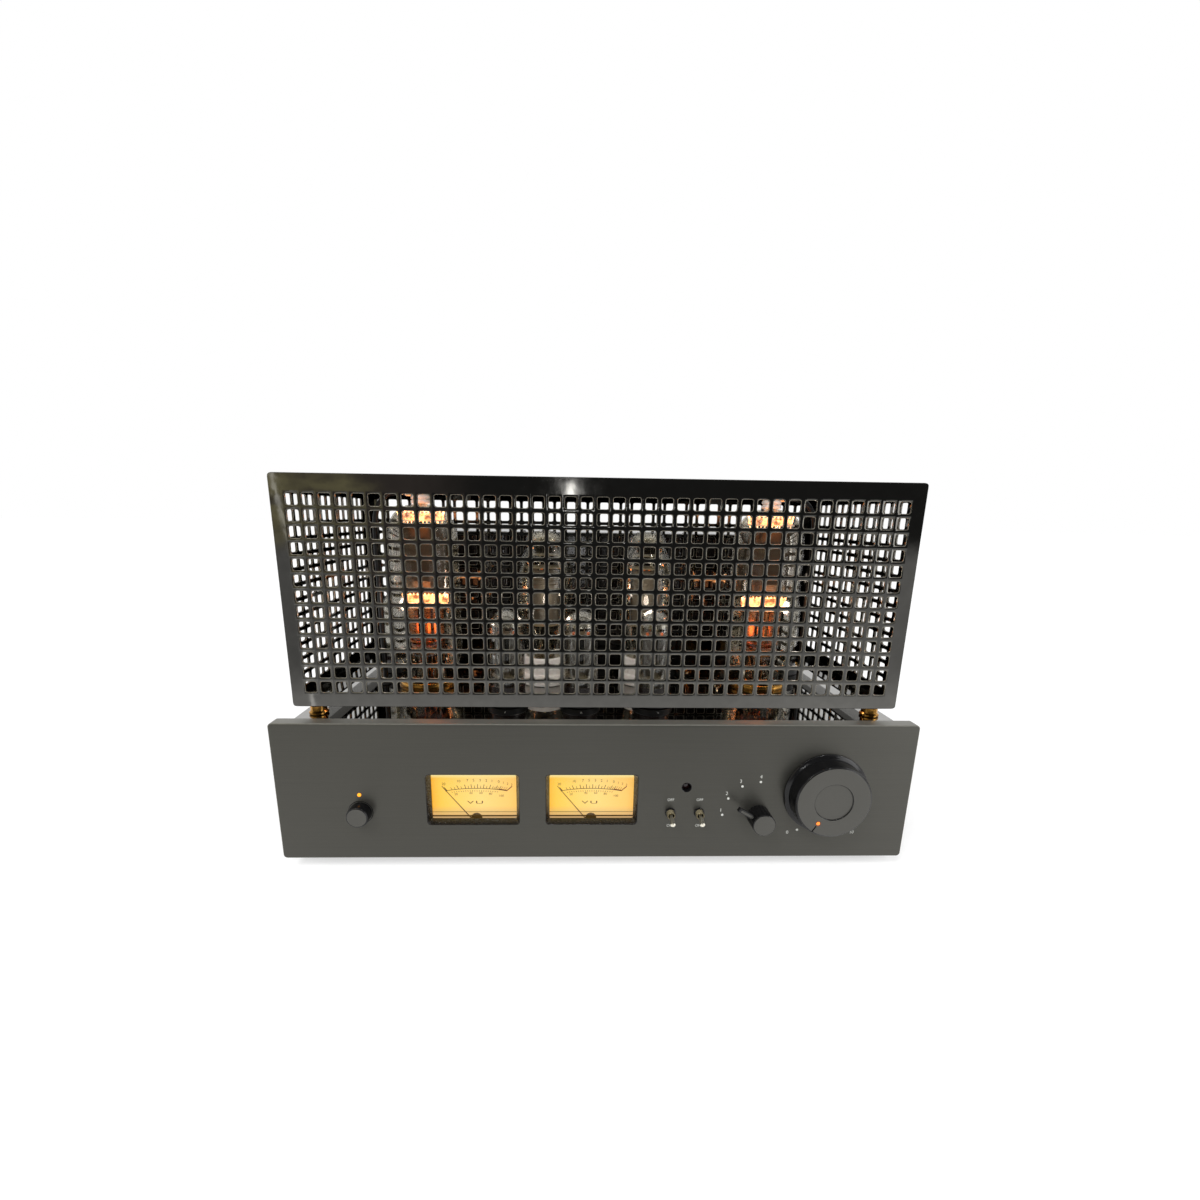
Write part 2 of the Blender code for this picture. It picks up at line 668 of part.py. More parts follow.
def make_cage_wrap():
    """Left wall, top and right wall of the cage: one sheet folded over, open as crossed bars."""
    start = CAGE_FRONT + CAGE_SHEET + FIT
    end = CAGE_FRONT + CAGE_DEPTH - CAGE_SHEET - FIT
    outline = folded_outline(CAGE_WIDTH, CAGE_BOTTOM, CAGE_TOP, CAGE_SHEET, CAGE_FLANGE)
    wrap = folded_sheet("cage_wrap", outline, start, end, "gloss_black_steel")
    half = CAGE_WIDTH / 2
    left = -grid_span(GRID_COLUMNS) / 2
    bottom = CAGE_BOTTOM + CAGE_BOTTOM_MARGIN
    top = bottom + grid_span(GRID_ROWS)
    front = CAGE_FRONT + CAGE_END_MARGIN
    back = front + grid_span(GRID_DEPTH_COLUMNS)
    outer_slots, inner_slots, middle = [], [], []
    for side in (-1, 1):
        outer = sorted((side * (half + OVERRUN), side * (half - CAGE_CUT_LAYER)))
        inner = sorted((side * (half - CAGE_SHEET - OVERRUN), side * (half - CAGE_SHEET + CAGE_CUT_LAYER)))
        gap = sorted((side * (half - CAGE_BAR_LAYER), side * (half - CAGE_SHEET + CAGE_BAR_LAYER)))
        outer_slots += [((outer[0], first, low), (outer[1], last, high))
                        for low, high, first, last in bars(bottom, top, front, GRID_DEPTH_COLUMNS)]
        inner_slots += [((inner[0], low, first), (inner[1], high, last))
                        for low, high, first, last in bars(front, back, bottom, GRID_ROWS)]
        middle.append(((gap[0], front, bottom), (gap[1], back, top)))
    outer_slots += [((low, first, CAGE_TOP - CAGE_CUT_LAYER), (high, last, CAGE_TOP + OVERRUN))
                    for low, high, first, last in bars(left, -left, front, GRID_DEPTH_COLUMNS)]
    under = CAGE_TOP - CAGE_SHEET
    inner_slots += [((first, low, under - OVERRUN), (last, high, under + CAGE_CUT_LAYER))
                    for low, high, first, last in bars(front, back, left, GRID_COLUMNS)]
    middle.append(((left, front, under + CAGE_BAR_LAYER), (-left, back, CAGE_TOP - CAGE_BAR_LAYER)))
    open_wall(wrap, "cage_wrap", outer_slots, inner_slots, middle)


def make_cage():
    """Perforated cage and the four brass pillars that it rests on."""
    make_cage_end("cage_front", CAGE_FRONT, 1)
    make_cage_end("cage_rear", CAGE_FRONT + CAGE_DEPTH, -1)
    make_cage_wrap()
    top = CAGE_GAP_ABOVE_DECK - 2 * FIT
    profile = [(0, 0), (PILLAR_RADIUS, 0), (PILLAR_RADIUS, top - PILLAR_EDGE),
               (PILLAR_RADIUS - PILLAR_EDGE, top), (0, top)]
    side = CAGE_WIDTH / 2 - PILLAR_INSET_SIDE
    for end, depth in (("front", PILLAR_INSET_END), ("rear", CAGE_DEPTH - PILLAR_INSET_END)):
        for name, across in (("left", -side), ("right", side)):
            on_deck(turned(f"{end}_{name}_pillar", profile, "brass", SMALL_STEPS), across, depth)


def make_meter(name, side):
    """Meter case behind the panel, its window in the panel and its needle over the dial."""
    front = PANEL_BACK + FIT
    low = METER_HEIGHT - METER_CASE_BELOW
    high = METER_HEIGHT + METER_CASE_ABOVE
    half = METER_CASE_WIDTH / 2
    case = box(name + "_meter_case", (side - half, front, low),
               (side + half, front + METER_CASE_DEPTH, high), "meter_face")
    wall = METER_CAVITY_WALL
    cut(case, box(name + "_meter_cavity", (side - half + wall, front - OVERRUN, low + wall),
                  (side + half - wall, front + METER_CAVITY_DEPTH, high - wall), "meter_face"))

    outline = rounded_rectangle(METER_OPENING_WIDTH - 2 * FIT, METER_OPENING_HEIGHT - 2 * FIT,
                                METER_OPENING_CORNER - FIT)
    window = lofted(name + "_meter_window", [raised(outline, -METER_WINDOW_DEPTH - METER_WINDOW_THICKNESS),
                                             raised(outline, -METER_WINDOW_DEPTH)], "clear_glass")
    on_panel(window, side, METER_HEIGHT)

    hub_steps = 10
    hub_start = math.radians(100)
    sweep = math.tau - 2 * (hub_start - math.pi / 2)
    hub = [(NEEDLE_HUB_RADIUS * math.cos(hub_start + step * sweep / hub_steps),
            NEEDLE_HUB_RADIUS * math.sin(hub_start + step * sweep / hub_steps))
           for step in range(hub_steps + 1)]
    pointer = [(NEEDLE_ROOT_WIDTH / 2, 2 * NEEDLE_HUB_RADIUS), (NEEDLE_TIP_WIDTH / 2, NEEDLE_LENGTH),
               (-NEEDLE_TIP_WIDTH / 2, NEEDLE_LENGTH), (-NEEDLE_ROOT_WIDTH / 2, 2 * NEEDLE_HUB_RADIUS)]
    outline = hub + pointer
    needle = lofted(name + "_meter_needle", [raised(outline, 0), raised(outline, NEEDLE_THICKNESS)],
                    "needle_black")
    needle.rotation_euler = (math.pi / 2, -NEEDLE_REST_ANGLE, 0)
    needle.location = (side, front + METER_CAVITY_DEPTH - FIT, METER_HEIGHT - NEEDLE_PIVOT_BELOW)


def control_body(name, radius, depth, side, height):
    """Round control behind the panel, with a threaded bushing bored for its knob's shaft."""
    seat = -PANEL_THICKNESS - FIT
    bore = SHAFT_RADIUS + SHAFT_CLEARANCE
    floor = KNOB_GAP - SHAFT_INSERTION - SHAFT_FLOOR_GAP
    profile = [(0, seat - depth), (radius, seat - depth), (radius, seat), (BUSHING_RADIUS, seat),
               (BUSHING_RADIUS, -FIT), (bore, -FIT), (bore, floor), (0, floor)]
    on_panel(turned(name, profile, "black_steel"), side, height)


def make_volume():
    """Volume knob with a flange, a dished face, an index notch and a lamp, on its control."""
    face = VOLUME_REACH
    flange_top = KNOB_GAP + VOLUME_FLANGE_THICKNESS
    profile = [(0, KNOB_GAP - SHAFT_INSERTION), (SHAFT_RADIUS, KNOB_GAP - SHAFT_INSERTION),
               (SHAFT_RADIUS, KNOB_GAP), (VOLUME_FLANGE_RADIUS, KNOB_GAP),
               (VOLUME_FLANGE_RADIUS, flange_top), (VOLUME_BODY_RADIUS, flange_top),
               (VOLUME_FACE_RADIUS + VOLUME_EDGE, face - VOLUME_EDGE), (VOLUME_FACE_RADIUS, face),
               (VOLUME_DISH_RADIUS, face), (VOLUME_DISH_RADIUS, face - VOLUME_DISH_DEPTH),
               (0, face - VOLUME_DISH_DEPTH)]
    knob = turned("volume_knob", profile, "black_knob", steps=36)
    lamp = round_cutter("volume_lamp_hole", VOLUME_LAMP_RADIUS, face - VOLUME_LAMP_DEPTH, face + OVERRUN,
                        steps=12)
    direction = Vector((-math.sin(VOLUME_REST_ANGLE), math.cos(VOLUME_REST_ANGLE)))
    on_panel(knob, VOLUME_SIDE, VOLUME_HEIGHT)
    on_panel(lamp, VOLUME_SIDE + VOLUME_MARK_RADIUS * direction.x,
             VOLUME_HEIGHT + VOLUME_MARK_RADIUS * direction.y)
    notch = box("volume_notch", (-VOLUME_NOTCH_WIDTH / 2, VOLUME_NOTCH_START, face - VOLUME_NOTCH_DEPTH),
                (VOLUME_NOTCH_WIDTH / 2, VOLUME_BODY_RADIUS + OVERRUN, face + OVERRUN), "black_knob")
    on_panel(notch, VOLUME_SIDE, VOLUME_HEIGHT)
    notch.rotation_euler = (math.pi / 2, -VOLUME_REST_ANGLE, 0)
    cut(knob, lamp)
    cut(knob, notch)
    control_body("volume_control", VOLUME_CONTROL_RADIUS, VOLUME_CONTROL_DEPTH, VOLUME_SIDE, VOLUME_HEIGHT)


def make_selector():
    """Fluted selector knob with a bar pointer, on its rotary switch."""
    count = 2 * SELECTOR_FLUTES

    def fluted(radius, depth, height):
        outline = []
        for index in range(count):
            angle = index * math.tau / count
            reach = radius - (depth if index % 2 else 0)
            outline.append((reach * math.cos(angle), reach * math.sin(angle)))
        return raised(outline, height)

    shaft_end = KNOB_GAP - SHAFT_INSERTION
    rings = [fluted(SHAFT_RADIUS, 0, shaft_end), fluted(SHAFT_RADIUS, 0, KNOB_GAP),
             fluted(SELECTOR_RADIUS, SELECTOR_FLUTE_DEPTH, KNOB_GAP),
             fluted(SELECTOR_RADIUS, SELECTOR_FLUTE_DEPTH, SELECTOR_REACH - SELECTOR_EDGE),
             fluted(SELECTOR_RADIUS - SELECTOR_EDGE, 0, SELECTOR_REACH)]
    knob = lofted("selector_knob", rings, "black_knob")
    on_panel(knob, SELECTOR_SIDE, SELECTOR_HEIGHT)
    pointer = box("selector_pointer", (-POINTER_WIDTH / 2, POINTER_ROOT, POINTER_STANDOFF),
                  (POINTER_WIDTH / 2, POINTER_LENGTH, POINTER_STANDOFF + POINTER_THICKNESS), "black_knob")
    on_panel(pointer, SELECTOR_SIDE, SELECTOR_HEIGHT)
    pointer.rotation_euler = (math.pi / 2, -SELECTOR_REST_ANGLE, 0)
    fuse(knob, pointer)
    control_body("selector_switch", SELECTOR_SWITCH_RADIUS, SELECTOR_SWITCH_DEPTH, SELECTOR_SIDE,
                 SELECTOR_HEIGHT)


def make_power():
    """Push button through the panel, its latching switch and the indicator lamp above."""
    stem_end = -BUTTON_SKIRT - BUTTON_STEM_LENGTH
    profile = [(0, stem_end), (BUTTON_STEM_RADIUS, stem_end), (BUTTON_STEM_RADIUS, -BUTTON_SKIRT),
               (BUTTON_RADIUS, -BUTTON_SKIRT), (BUTTON_RADIUS, BUTTON_REACH - BUTTON_EDGE),
               (BUTTON_RADIUS - BUTTON_EDGE, BUTTON_REACH), (0, BUTTON_REACH - BUTTON_DISH)]
    on_panel(turned("power_button", profile, "black_knob"), POWER_SIDE, POWER_HEIGHT)
    half = POWER_SWITCH_SIDE / 2
    seat = -PANEL_THICKNESS - FIT
    switch = box("power_switch", (-half, -half, seat - POWER_SWITCH_DEPTH), (half, half, seat),
                 "black_plastic")
    bore = round_cutter("power_switch_bore", BUTTON_STEM_RADIUS + BUTTON_CLEARANCE,
                        stem_end - BUTTON_TRAVEL - SHAFT_FLOOR_GAP, seat + OVERRUN, steps=SMALL_STEPS)
    on_panel(switch, POWER_SIDE, POWER_HEIGHT)
    on_panel(bore, POWER_SIDE, POWER_HEIGHT)
    cut(switch, bore)
    tip = INDICATOR_RADIUS * 2 / 3
    profile = [(0, seat - INDICATOR_BODY_LENGTH), (INDICATOR_RIM_RADIUS, seat - INDICATOR_BODY_LENGTH),
               (INDICATOR_RIM_RADIUS, seat), (INDICATOR_RADIUS, seat), (INDICATOR_RADIUS, 0),
               (tip, INDICATOR_REACH * 4 / 5), (0, INDICATOR_REACH)]
    on_panel(turned("power_indicator", profile, "amber_lens", SMALL_STEPS), POWER_SIDE, INDICATOR_HEIGHT)


def make_sensor():
    """Dark remote-control lens, recessed in its bevelled hole."""
    seat = -PANEL_THICKNESS - FIT
    profile = [(0, seat - SENSOR_BODY_LENGTH), (SENSOR_RIM_RADIUS, seat - SENSOR_BODY_LENGTH),
               (SENSOR_RIM_RADIUS, seat), (SENSOR_RADIUS, seat),
               (SENSOR_RADIUS, -SENSOR_RECESS - SENSOR_DOME),
               (SENSOR_RADIUS * 3 / 4, -SENSOR_RECESS - SENSOR_DOME / 3), (0, -SENSOR_RECESS)]
    on_panel(turned("remote_sensor", profile, "dark_lens", SMALL_STEPS), SENSOR_SIDE, SENSOR_HEIGHT)


def make_toggle(name, side):
    """Miniature toggle switch: square body, bored bushing and bat lever on a ball."""
    seat = -PANEL_THICKNESS - FIT
    half = TOGGLE_BODY_SIDE / 2
    floor = TOGGLE_PIVOT_REACH - TOGGLE_BALL_RADIUS - TOGGLE_BORE_FLOOR
    overlap = seat - OVERRUN
    profile = [(0, overlap), (TOGGLE_BUSHING_RADIUS, overlap),
               (TOGGLE_BUSHING_RADIUS, TOGGLE_BUSHING_REACH), (TOGGLE_BORE_RADIUS, TOGGLE_BUSHING_REACH),
               (TOGGLE_BORE_RADIUS, floor), (0, floor)]
    switch = box(name + "_toggle_switch", (-half, -half, seat - TOGGLE_BODY_DEPTH), (half, half, seat),
                 "chrome")
    on_panel(switch, side, TOGGLE_HEIGHT)
    bushing = turned(name + "_toggle_bushing", profile, "chrome", SMALL_STEPS)
    fuse(switch, on_panel(bushing, side, TOGGLE_HEIGHT))

    ball = [(TOGGLE_BALL_RADIUS * math.sin(angle), -TOGGLE_BALL_RADIUS * math.cos(angle))
            for angle in (math.radians(degrees) for degrees in (0, 35, 70, 105))]
    neck = TOGGLE_BUSHING_REACH - TOGGLE_PIVOT_REACH
    length = TOGGLE_LEVER_LENGTH
    tip = TOGGLE_TIP_RADIUS
    profile = ball + [(TOGGLE_NECK_RADIUS, TOGGLE_BALL_RADIUS), (TOGGLE_NECK_RADIUS, neck),
                      (tip, length - 2 * tip), (tip, length - tip), (tip * 2 / 3, length - tip / 4),
                      (0, length)]
    profile[0] = (0, -TOGGLE_BALL_RADIUS)
    lever = on_panel(turned(name + "_toggle_lever", profile, "chrome", SMALL_STEPS), side, TOGGLE_HEIGHT,
                     TOGGLE_PIVOT_REACH)
    lever.rotation_euler = (math.pi / 2 + TOGGLE_REST_ANGLE, 0, 0)


def inset(points, wall):
    """Move a profile inwards by a wall, square to its run at each point."""
    moved = []
    for index, point in enumerate(points):
        before = Vector(points[max(index - 1, 0)])
        after = Vector(points[min(index + 1, len(points) - 1)])
        run = (after - before).normalized()
        moved.append((max(point[0] - wall * run.y, 0), point[1] + wall * run.x))
    return moved


def glass_profile(outside, wall, top):
    """Envelope with an open foot: down the inside from the top and up the outside."""
    inside = inset(outside, wall)
    return [(0, top - wall)] + list(reversed(inside)) + outside + [(0, top)]


def sweep(name, route, radius, finish, sides=10):
    """Round cord along a route of points, with closed ends."""
    rings = []
    across = Vector((0, 1, 0))
    for index, point in enumerate(route):
        before = route[max(index - 1, 0)]
        after = route[min(index + 1, len(route) - 1)]
        run = (after - before).normalized()
        up = run.cross(across).normalized()
        rings.append([point + radius * (across * math.cos(step * math.tau / sides)
                                        + up * math.sin(step * math.tau / sides))
                      for step in range(sides)])
    return lofted(name, rings, finish)


def smooth_route(points, steps):
    """Smooth curve through the points, with steps between each two."""
    route = []
    ends = [2 * points[0] - points[1]] + points + [2 * points[-1] - points[-2]]
    for first, second, third, fourth in zip(ends, ends[1:], ends[2:], ends[3:]):
        for step in range(steps):
            share = step / steps
            route.append(0.5 * (2 * second + (third - first) * share
                                + (2 * first - 5 * second + 4 * third - fourth) * share ** 2
                                + (3 * second - first - 3 * third + fourth) * share ** 3))
    return route + [points[-1]]


def output_bulb(name, side):
    """Cylindrical glass envelope with a domed top and a nipple for its anode cap."""
    straight_share = 0.80
    shoulder_share = 0.90
    lower = OUTPUT_BASE_RISE - OUTPUT_CUP_DEPTH + FIT
    belly = OUTPUT_BULB_TOP * straight_share
    dome = OUTPUT_BULB_TOP - belly
    outside = [(OUTPUT_NECK_RADIUS, lower), (OUTPUT_NECK_RADIUS, OUTPUT_BASE_RISE + OUTPUT_BASE_RIM)]
    neck_top = outside[-1][1]
    flare = OUTPUT_BULB_RADIUS - OUTPUT_NECK_RADIUS
    for share in (0.5, 1):
        outside.append((OUTPUT_NECK_RADIUS + flare * math.sin(share * math.pi / 2),
                        neck_top + share * 4 * flare))
    for angle in (math.radians(degrees) for degrees in (0, 25, 50, 70)):
        outside.append((OUTPUT_BULB_RADIUS * math.cos(angle), belly + dome * math.sin(angle)))
    inside = inset(outside, OUTPUT_GLASS)
    nipple = [(OUTPUT_NIPPLE_RADIUS, OUTPUT_BULB_TOP),
              (OUTPUT_NIPPLE_RADIUS * shoulder_share, OUTPUT_BULB_TOP + OUTPUT_NIPPLE_HEIGHT),
              (0, OUTPUT_BULB_TOP + OUTPUT_NIPPLE_HEIGHT)]
    profile = [(0, OUTPUT_BULB_TOP - OUTPUT_GLASS)] + list(reversed(inside)) + outside + nipple
    return on_deck(turned(name, profile, "clear_glass"), side, OUTPUT_DEPTH)


def output_base(name, side):
    """Brass base sunk in the deck, with the glass foot, its rod and the grey anode."""
    cup = OUTPUT_NECK_RADIUS + FIT
    floor = OUTPUT_BASE_RISE - OUTPUT_CUP_DEPTH
    stem = OUTPUT_STEM_HEIGHT
    profile = [(0, -OUTPUT_BASE_SINK), (OUTPUT_BASE_RADIUS, -OUTPUT_BASE_SINK),
               (OUTPUT_BASE_RADIUS, OUTPUT_BASE_RISE - OUTPUT_BASE_RIM),
               (OUTPUT_BASE_RADIUS - OUTPUT_BASE_RIM, OUTPUT_BASE_RISE), (cup, OUTPUT_BASE_RISE),
               (cup, floor), (OUTPUT_STEM_RADIUS, floor), (OUTPUT_STEM_RADIUS, stem * 2 / 3),
               (OUTPUT_STEM_RADIUS * 2 / 3, stem), (OUTPUT_ROD_RADIUS, stem),
               (OUTPUT_ROD_RADIUS, OUTPUT_ROD_TOP), (0, OUTPUT_ROD_TOP)]
    base = on_deck(turned(name, profile, "brass"), side, OUTPUT_DEPTH)
    outline = rounded_rectangle(ANODE_WIDTH, ANODE_DEPTH, ANODE_CORNER, steps=3)
    anode = lofted(name + "_anode", [raised(outline, ANODE_BOTTOM), raised(outline, ANODE_TOP)],
                   "grey_anode")
    fuse(base, on_deck(anode, side, OUTPUT_DEPTH))


def anode_lead(name, side, outboard):
    """Ceramic cap over the nipple, and its lead out, over and down through the deck."""
    seat = OUTPUT_BULB_TOP + FIT
    bore = OUTPUT_NIPPLE_RADIUS + CAP_BORE_CLEARANCE
    roof = OUTPUT_BULB_TOP + OUTPUT_NIPPLE_HEIGHT + FIT
    profile = [(0, roof), (bore, roof), (bore, seat), (CAP_RADIUS, seat),
               (CAP_RADIUS, seat + CAP_HEIGHT - CAP_EDGE), (CAP_RADIUS - CAP_EDGE, seat + CAP_HEIGHT),
               (0, seat + CAP_HEIGHT)]
    cap = turned(name, profile, "white_ceramic", SMALL_STEPS)
    on_deck(cap, side, OUTPUT_DEPTH)
    exit_height = (roof + seat + CAP_HEIGHT - CAP_EDGE) / 2
    low = -TRAY_SHEET - OUTPUT_BASE_SINK
    reach = LEAD_OUTBOARD
    shares = ((0.13, 1), (0.45, 1), (0.72, 0.985), (0.93, 0.92), (1, 0.80), (1, 0.5), (1, 0.1))
    route = [Vector((outboard * reach * across, 0, exit_height * along)) for across, along in shares]
    route.append(Vector((outboard * reach, 0, low)))
    lead = sweep(name + "_cord", smooth_route(route, LEAD_STEPS_PER_SPAN), LEAD_RADIUS, "rubber")
    fuse(cap, on_deck(lead, side, OUTPUT_DEPTH))


def driver_bulb(name, side):
    """Coke-bottle glass: slim foot, full belly, drawn-in shoulder and a small dome."""
    top = DRIVER_BULB_TOP
    belly = DRIVER_BULB_RADIUS
    shares = ((0.660, 0.240), (0.820, 0.350), (0.960, 0.490), (1.000, 0.610), (0.990, 0.720),
              (0.890, 0.810), (0.715, 0.868), (0.645, 0.905), (0.620, 0.950), (0.440, 0.990))
    foot = DRIVER_BASE_HEIGHT - DRIVER_CUP_DEPTH + FIT
    outside = [(DRIVER_NECK_RADIUS, foot)]
    outside += [(belly * across, top * along) for across, along in shares]
    profile = glass_profile(outside, DRIVER_GLASS, top)
    on_deck(turned(name, profile, "clear_glass", 20), side, DRIVER_DEPTH)


def driver_base(name, side):
    """White ceramic socket and base, with the foot, rod and plates inside the glass."""
    cup = DRIVER_NECK_RADIUS + FIT
    floor = DRIVER_BASE_HEIGHT - DRIVER_CUP_DEPTH
    edge = DRIVER_BASE_EDGE
    profile = [(0, 0), (DRIVER_BASE_RADIUS, 0), (DRIVER_BASE_RADIUS, DRIVER_BASE_HEIGHT - edge),
               (DRIVER_BASE_RADIUS - edge, DRIVER_BASE_HEIGHT), (cup, DRIVER_BASE_HEIGHT), (cup, floor),
               (DRIVER_STEM_RADIUS, floor), (DRIVER_STEM_RADIUS / 2, DRIVER_STEM_HEIGHT),
               (DRIVER_ROD_RADIUS, DRIVER_STEM_HEIGHT), (DRIVER_ROD_RADIUS, DRIVER_ROD_TOP),
               (0, DRIVER_ROD_TOP)]
    base = on_deck(turned(name, profile, "white_ceramic", 20), side, DRIVER_DEPTH)
    outline = rounded_rectangle(DRIVER_PLATE_WIDTH, DRIVER_PLATE_DEPTH, DRIVER_PLATE_CORNER, steps=2)
    plates = lofted(name + "_plates", [raised(outline, DRIVER_PLATE_BOTTOM),
                                       raised(outline, DRIVER_PLATE_TOP)], "grey_anode")
    fuse(base, on_deck(plates, side, DRIVER_DEPTH))


def small_valve(name, side, depth):
    """Octal valve in its socket: socket ring, moulded base and domed bulb."""
    waist_share = 0.97
    shoulder = SMALL_HEIGHT - SMALL_BULB_RADIUS
    profile = [(0, 0), (SMALL_SOCKET_RADIUS, 0), (SMALL_SOCKET_RADIUS, SMALL_SOCKET_HEIGHT),
               (SMALL_BASE_RADIUS, SMALL_SOCKET_HEIGHT), (SMALL_BASE_RADIUS, SMALL_BASE_HEIGHT),
               (SMALL_BULB_RADIUS * waist_share, SMALL_BASE_HEIGHT), (SMALL_BULB_RADIUS, shoulder)]
    for angle in (math.radians(degrees) for degrees in (35, 65)):
        profile.append((SMALL_BULB_RADIUS * math.cos(angle),
                        shoulder + SMALL_BULB_RADIUS * math.sin(angle)))
    profile.append((0, SMALL_HEIGHT))
    on_deck(turned(name, profile, "silvered_glass", SMALL_STEPS), side, depth)


def make_valves():
    """All valves on the deck: two large, two coke-bottle and five small."""
    for name, side in (("left", -1), ("right", 1)):
        output_bulb(name + "_output_bulb", side * OUTPUT_SIDE)
        output_base(name + "_output_base", side * OUTPUT_SIDE)
        anode_lead(name + "_anode_lead", side * OUTPUT_SIDE, side)
        driver_bulb(name + "_driver_bulb", side * DRIVER_SIDE)
        driver_base(name + "_driver_base", side * DRIVER_SIDE)
        small_valve(name + "_rear_small_valve", side * SMALL_REAR_SIDE, SMALL_REAR_DEPTH)
    for name, step in (("left", -1), ("middle", 0), ("right", 1)):
        small_valve(name + "_front_small_valve", SMALL_FRONT_MIDDLE + step * SMALL_FRONT_SPACING,
                    SMALL_FRONT_DEPTH)


def transformer_cover(name, centre, width):
    """Deep-drawn cover with round upright edges and a softened top."""
    middle = FRONT_Y + TRANSFORMER_FRONT + TRANSFORMER_LENGTH / 2
    corner = TRANSFORMER_CORNER
    edge = TRANSFORMER_TOP_EDGE

    def ring(step_in, height):
        return raised(rounded_rectangle(width - 2 * step_in, TRANSFORMER_LENGTH - 2 * step_in,
                                        corner - step_in), height)
    half_share = 0.3
    rings = [ring(0, 0), ring(0, TRANSFORMER_HEIGHT - edge),
             ring(half_share * edge, TRANSFORMER_HEIGHT - half_share * edge),
             ring(edge, TRANSFORMER_HEIGHT)]
    cover = lofted(name + "_cover", rings, "black_steel")
    sheet = TRANSFORMER_SHEET
    inside = lofted(name + "_inside", [ring(sheet, -OVERRUN), ring(sheet, TRANSFORMER_HEIGHT - edge),
                                       ring(edge, TRANSFORMER_HEIGHT - sheet)], "black_steel")
    for piece in (cover, inside):
        piece.location = (centre, middle, DECK_TOP + FIT)
    cut(cover, inside)


def transformer_core(name, centre, width):
    """Laminated iron core standing on the deck, with its coil bulging at the front and rear."""
    middle = FRONT_Y + TRANSFORMER_FRONT + TRANSFORMER_LENGTH / 2
    half = CORE_LENGTH / 2
    floor = DECK_TOP + FIT
    core = box(name + "_core", (centre - width / 2, middle - half, floor),
               (centre + width / 2, middle + half, floor + CORE_HEIGHT), "laminated_iron")
    low = floor + CORE_HEIGHT * (1 - COIL_HEIGHT_SHARE) / 2
    coil_half = width * COIL_HEIGHT_SHARE / 2
    coil = box(name + "_coil", (centre - coil_half, middle - half - COIL_OVERHANG, low),
               (centre + coil_half, middle + half + COIL_OVERHANG, low + CORE_HEIGHT * COIL_HEIGHT_SHARE),
               "laminated_iron")
    fuse(core, coil)


def make_transformers():
    """Output transformer on each side and mains transformer in the middle, each under its cover."""
    side_centre = COVER_ROW_SIDE - SIDE_COVER_WIDTH / 2
    for name, centre, cover_width, core_width in (
            ("left_output", -side_centre, SIDE_COVER_WIDTH, SIDE_CORE_WIDTH),
            ("mains", 0, MIDDLE_COVER_WIDTH, MIDDLE_CORE_WIDTH),
            ("right_output", side_centre, SIDE_COVER_WIDTH, SIDE_CORE_WIDTH)):
        transformer_cover(name + "_transformer", centre, cover_width)
        transformer_core(name + "_transformer", centre, core_width)


def make_circuit_board():
    """Supply board on four legs, with its row of filter capacitors."""
    front = FRONT_Y + BOARD_FRONT
    bottom = COVER_TOP + FIT
    underside = bottom + BOARD_LEG_HEIGHT
    top = underside + BOARD_THICKNESS
    board = box("circuit_board", (-BOARD_WIDTH / 2, front, underside),
                (BOARD_WIDTH / 2, front + BOARD_LENGTH, top), "green_board")
    for index, (across, along) in enumerate(((-1, 0), (1, 0), (-1, 1), (1, 1))):
        leg = round_cutter(f"board_leg_{index}", BOARD_LEG_RADIUS, bottom, top - BOARD_THICKNESS / 2,
                           steps=8)
        leg.location = (across * (BOARD_WIDTH / 2 - BOARD_LEG_INSET),
                        front + BOARD_LEG_INSET + along * (BOARD_LENGTH - 2 * BOARD_LEG_INSET), 0)
        fuse(board, leg)
    for index in range(CAPACITOR_COUNT):
        can = round_cutter(f"capacitor_{index}", CAPACITOR_RADIUS, top - BOARD_THICKNESS / 2,
                           top + CAPACITOR_HEIGHT, steps=SMALL_STEPS)
        can.location = ((index - (CAPACITOR_COUNT - 1) / 2) * CAPACITOR_PITCH, front + CAPACITOR_BACK, 0)
        fuse(board, can)


def make_inlet():
    """Mains inlet: flange, body through the rear panel, cavity and three flat pins."""
    flange = rounded_rectangle(INLET_FLANGE_WIDTH, INLET_FLANGE_TALL, INLET_CORNER)
    inlet = lofted("mains_inlet", [raised(flange, 0), raised(flange, INLET_FLANGE)], "black_plastic")
    body = rounded_rectangle(INLET_WIDTH, INLET_TALL, INLET_CORNER)
    shell = lofted("inlet_body", [raised(body, -INLET_BODY_DEPTH), raised(body, INLET_FLANGE / 2)],
                   "black_plastic")
    mouth = rounded_rectangle(INLET_WIDTH - 2 * INLET_WALL, INLET_TALL - 2 * INLET_WALL,
                              INLET_CORNER - INLET_WALL)
    floor = INLET_FLANGE - INLET_CAVITY_DEPTH
    cavity = lofted("inlet_cavity", [raised(mouth, floor), raised(mouth, INLET_FLANGE + OVERRUN)],
                    "black_plastic")
    places = ((-PIN_SIDE, PIN_DROP), (PIN_SIDE, PIN_DROP), (0, -PIN_RISE))
    pins = boxes("inlet_pins", [((across - PIN_WIDTH / 2, along - PIN_TALL / 2, floor - INLET_WALL / 2),
                                 (across + PIN_WIDTH / 2, along + PIN_TALL / 2, floor + PIN_LENGTH))
                                for across, along in places], "chrome")
    for piece in (inlet, shell, cavity, pins):
        on_rear(piece, INLET_SIDE, INLET_HEIGHT)
    fuse(inlet, shell)
    cut(inlet, cavity)
    fuse(inlet, pins)


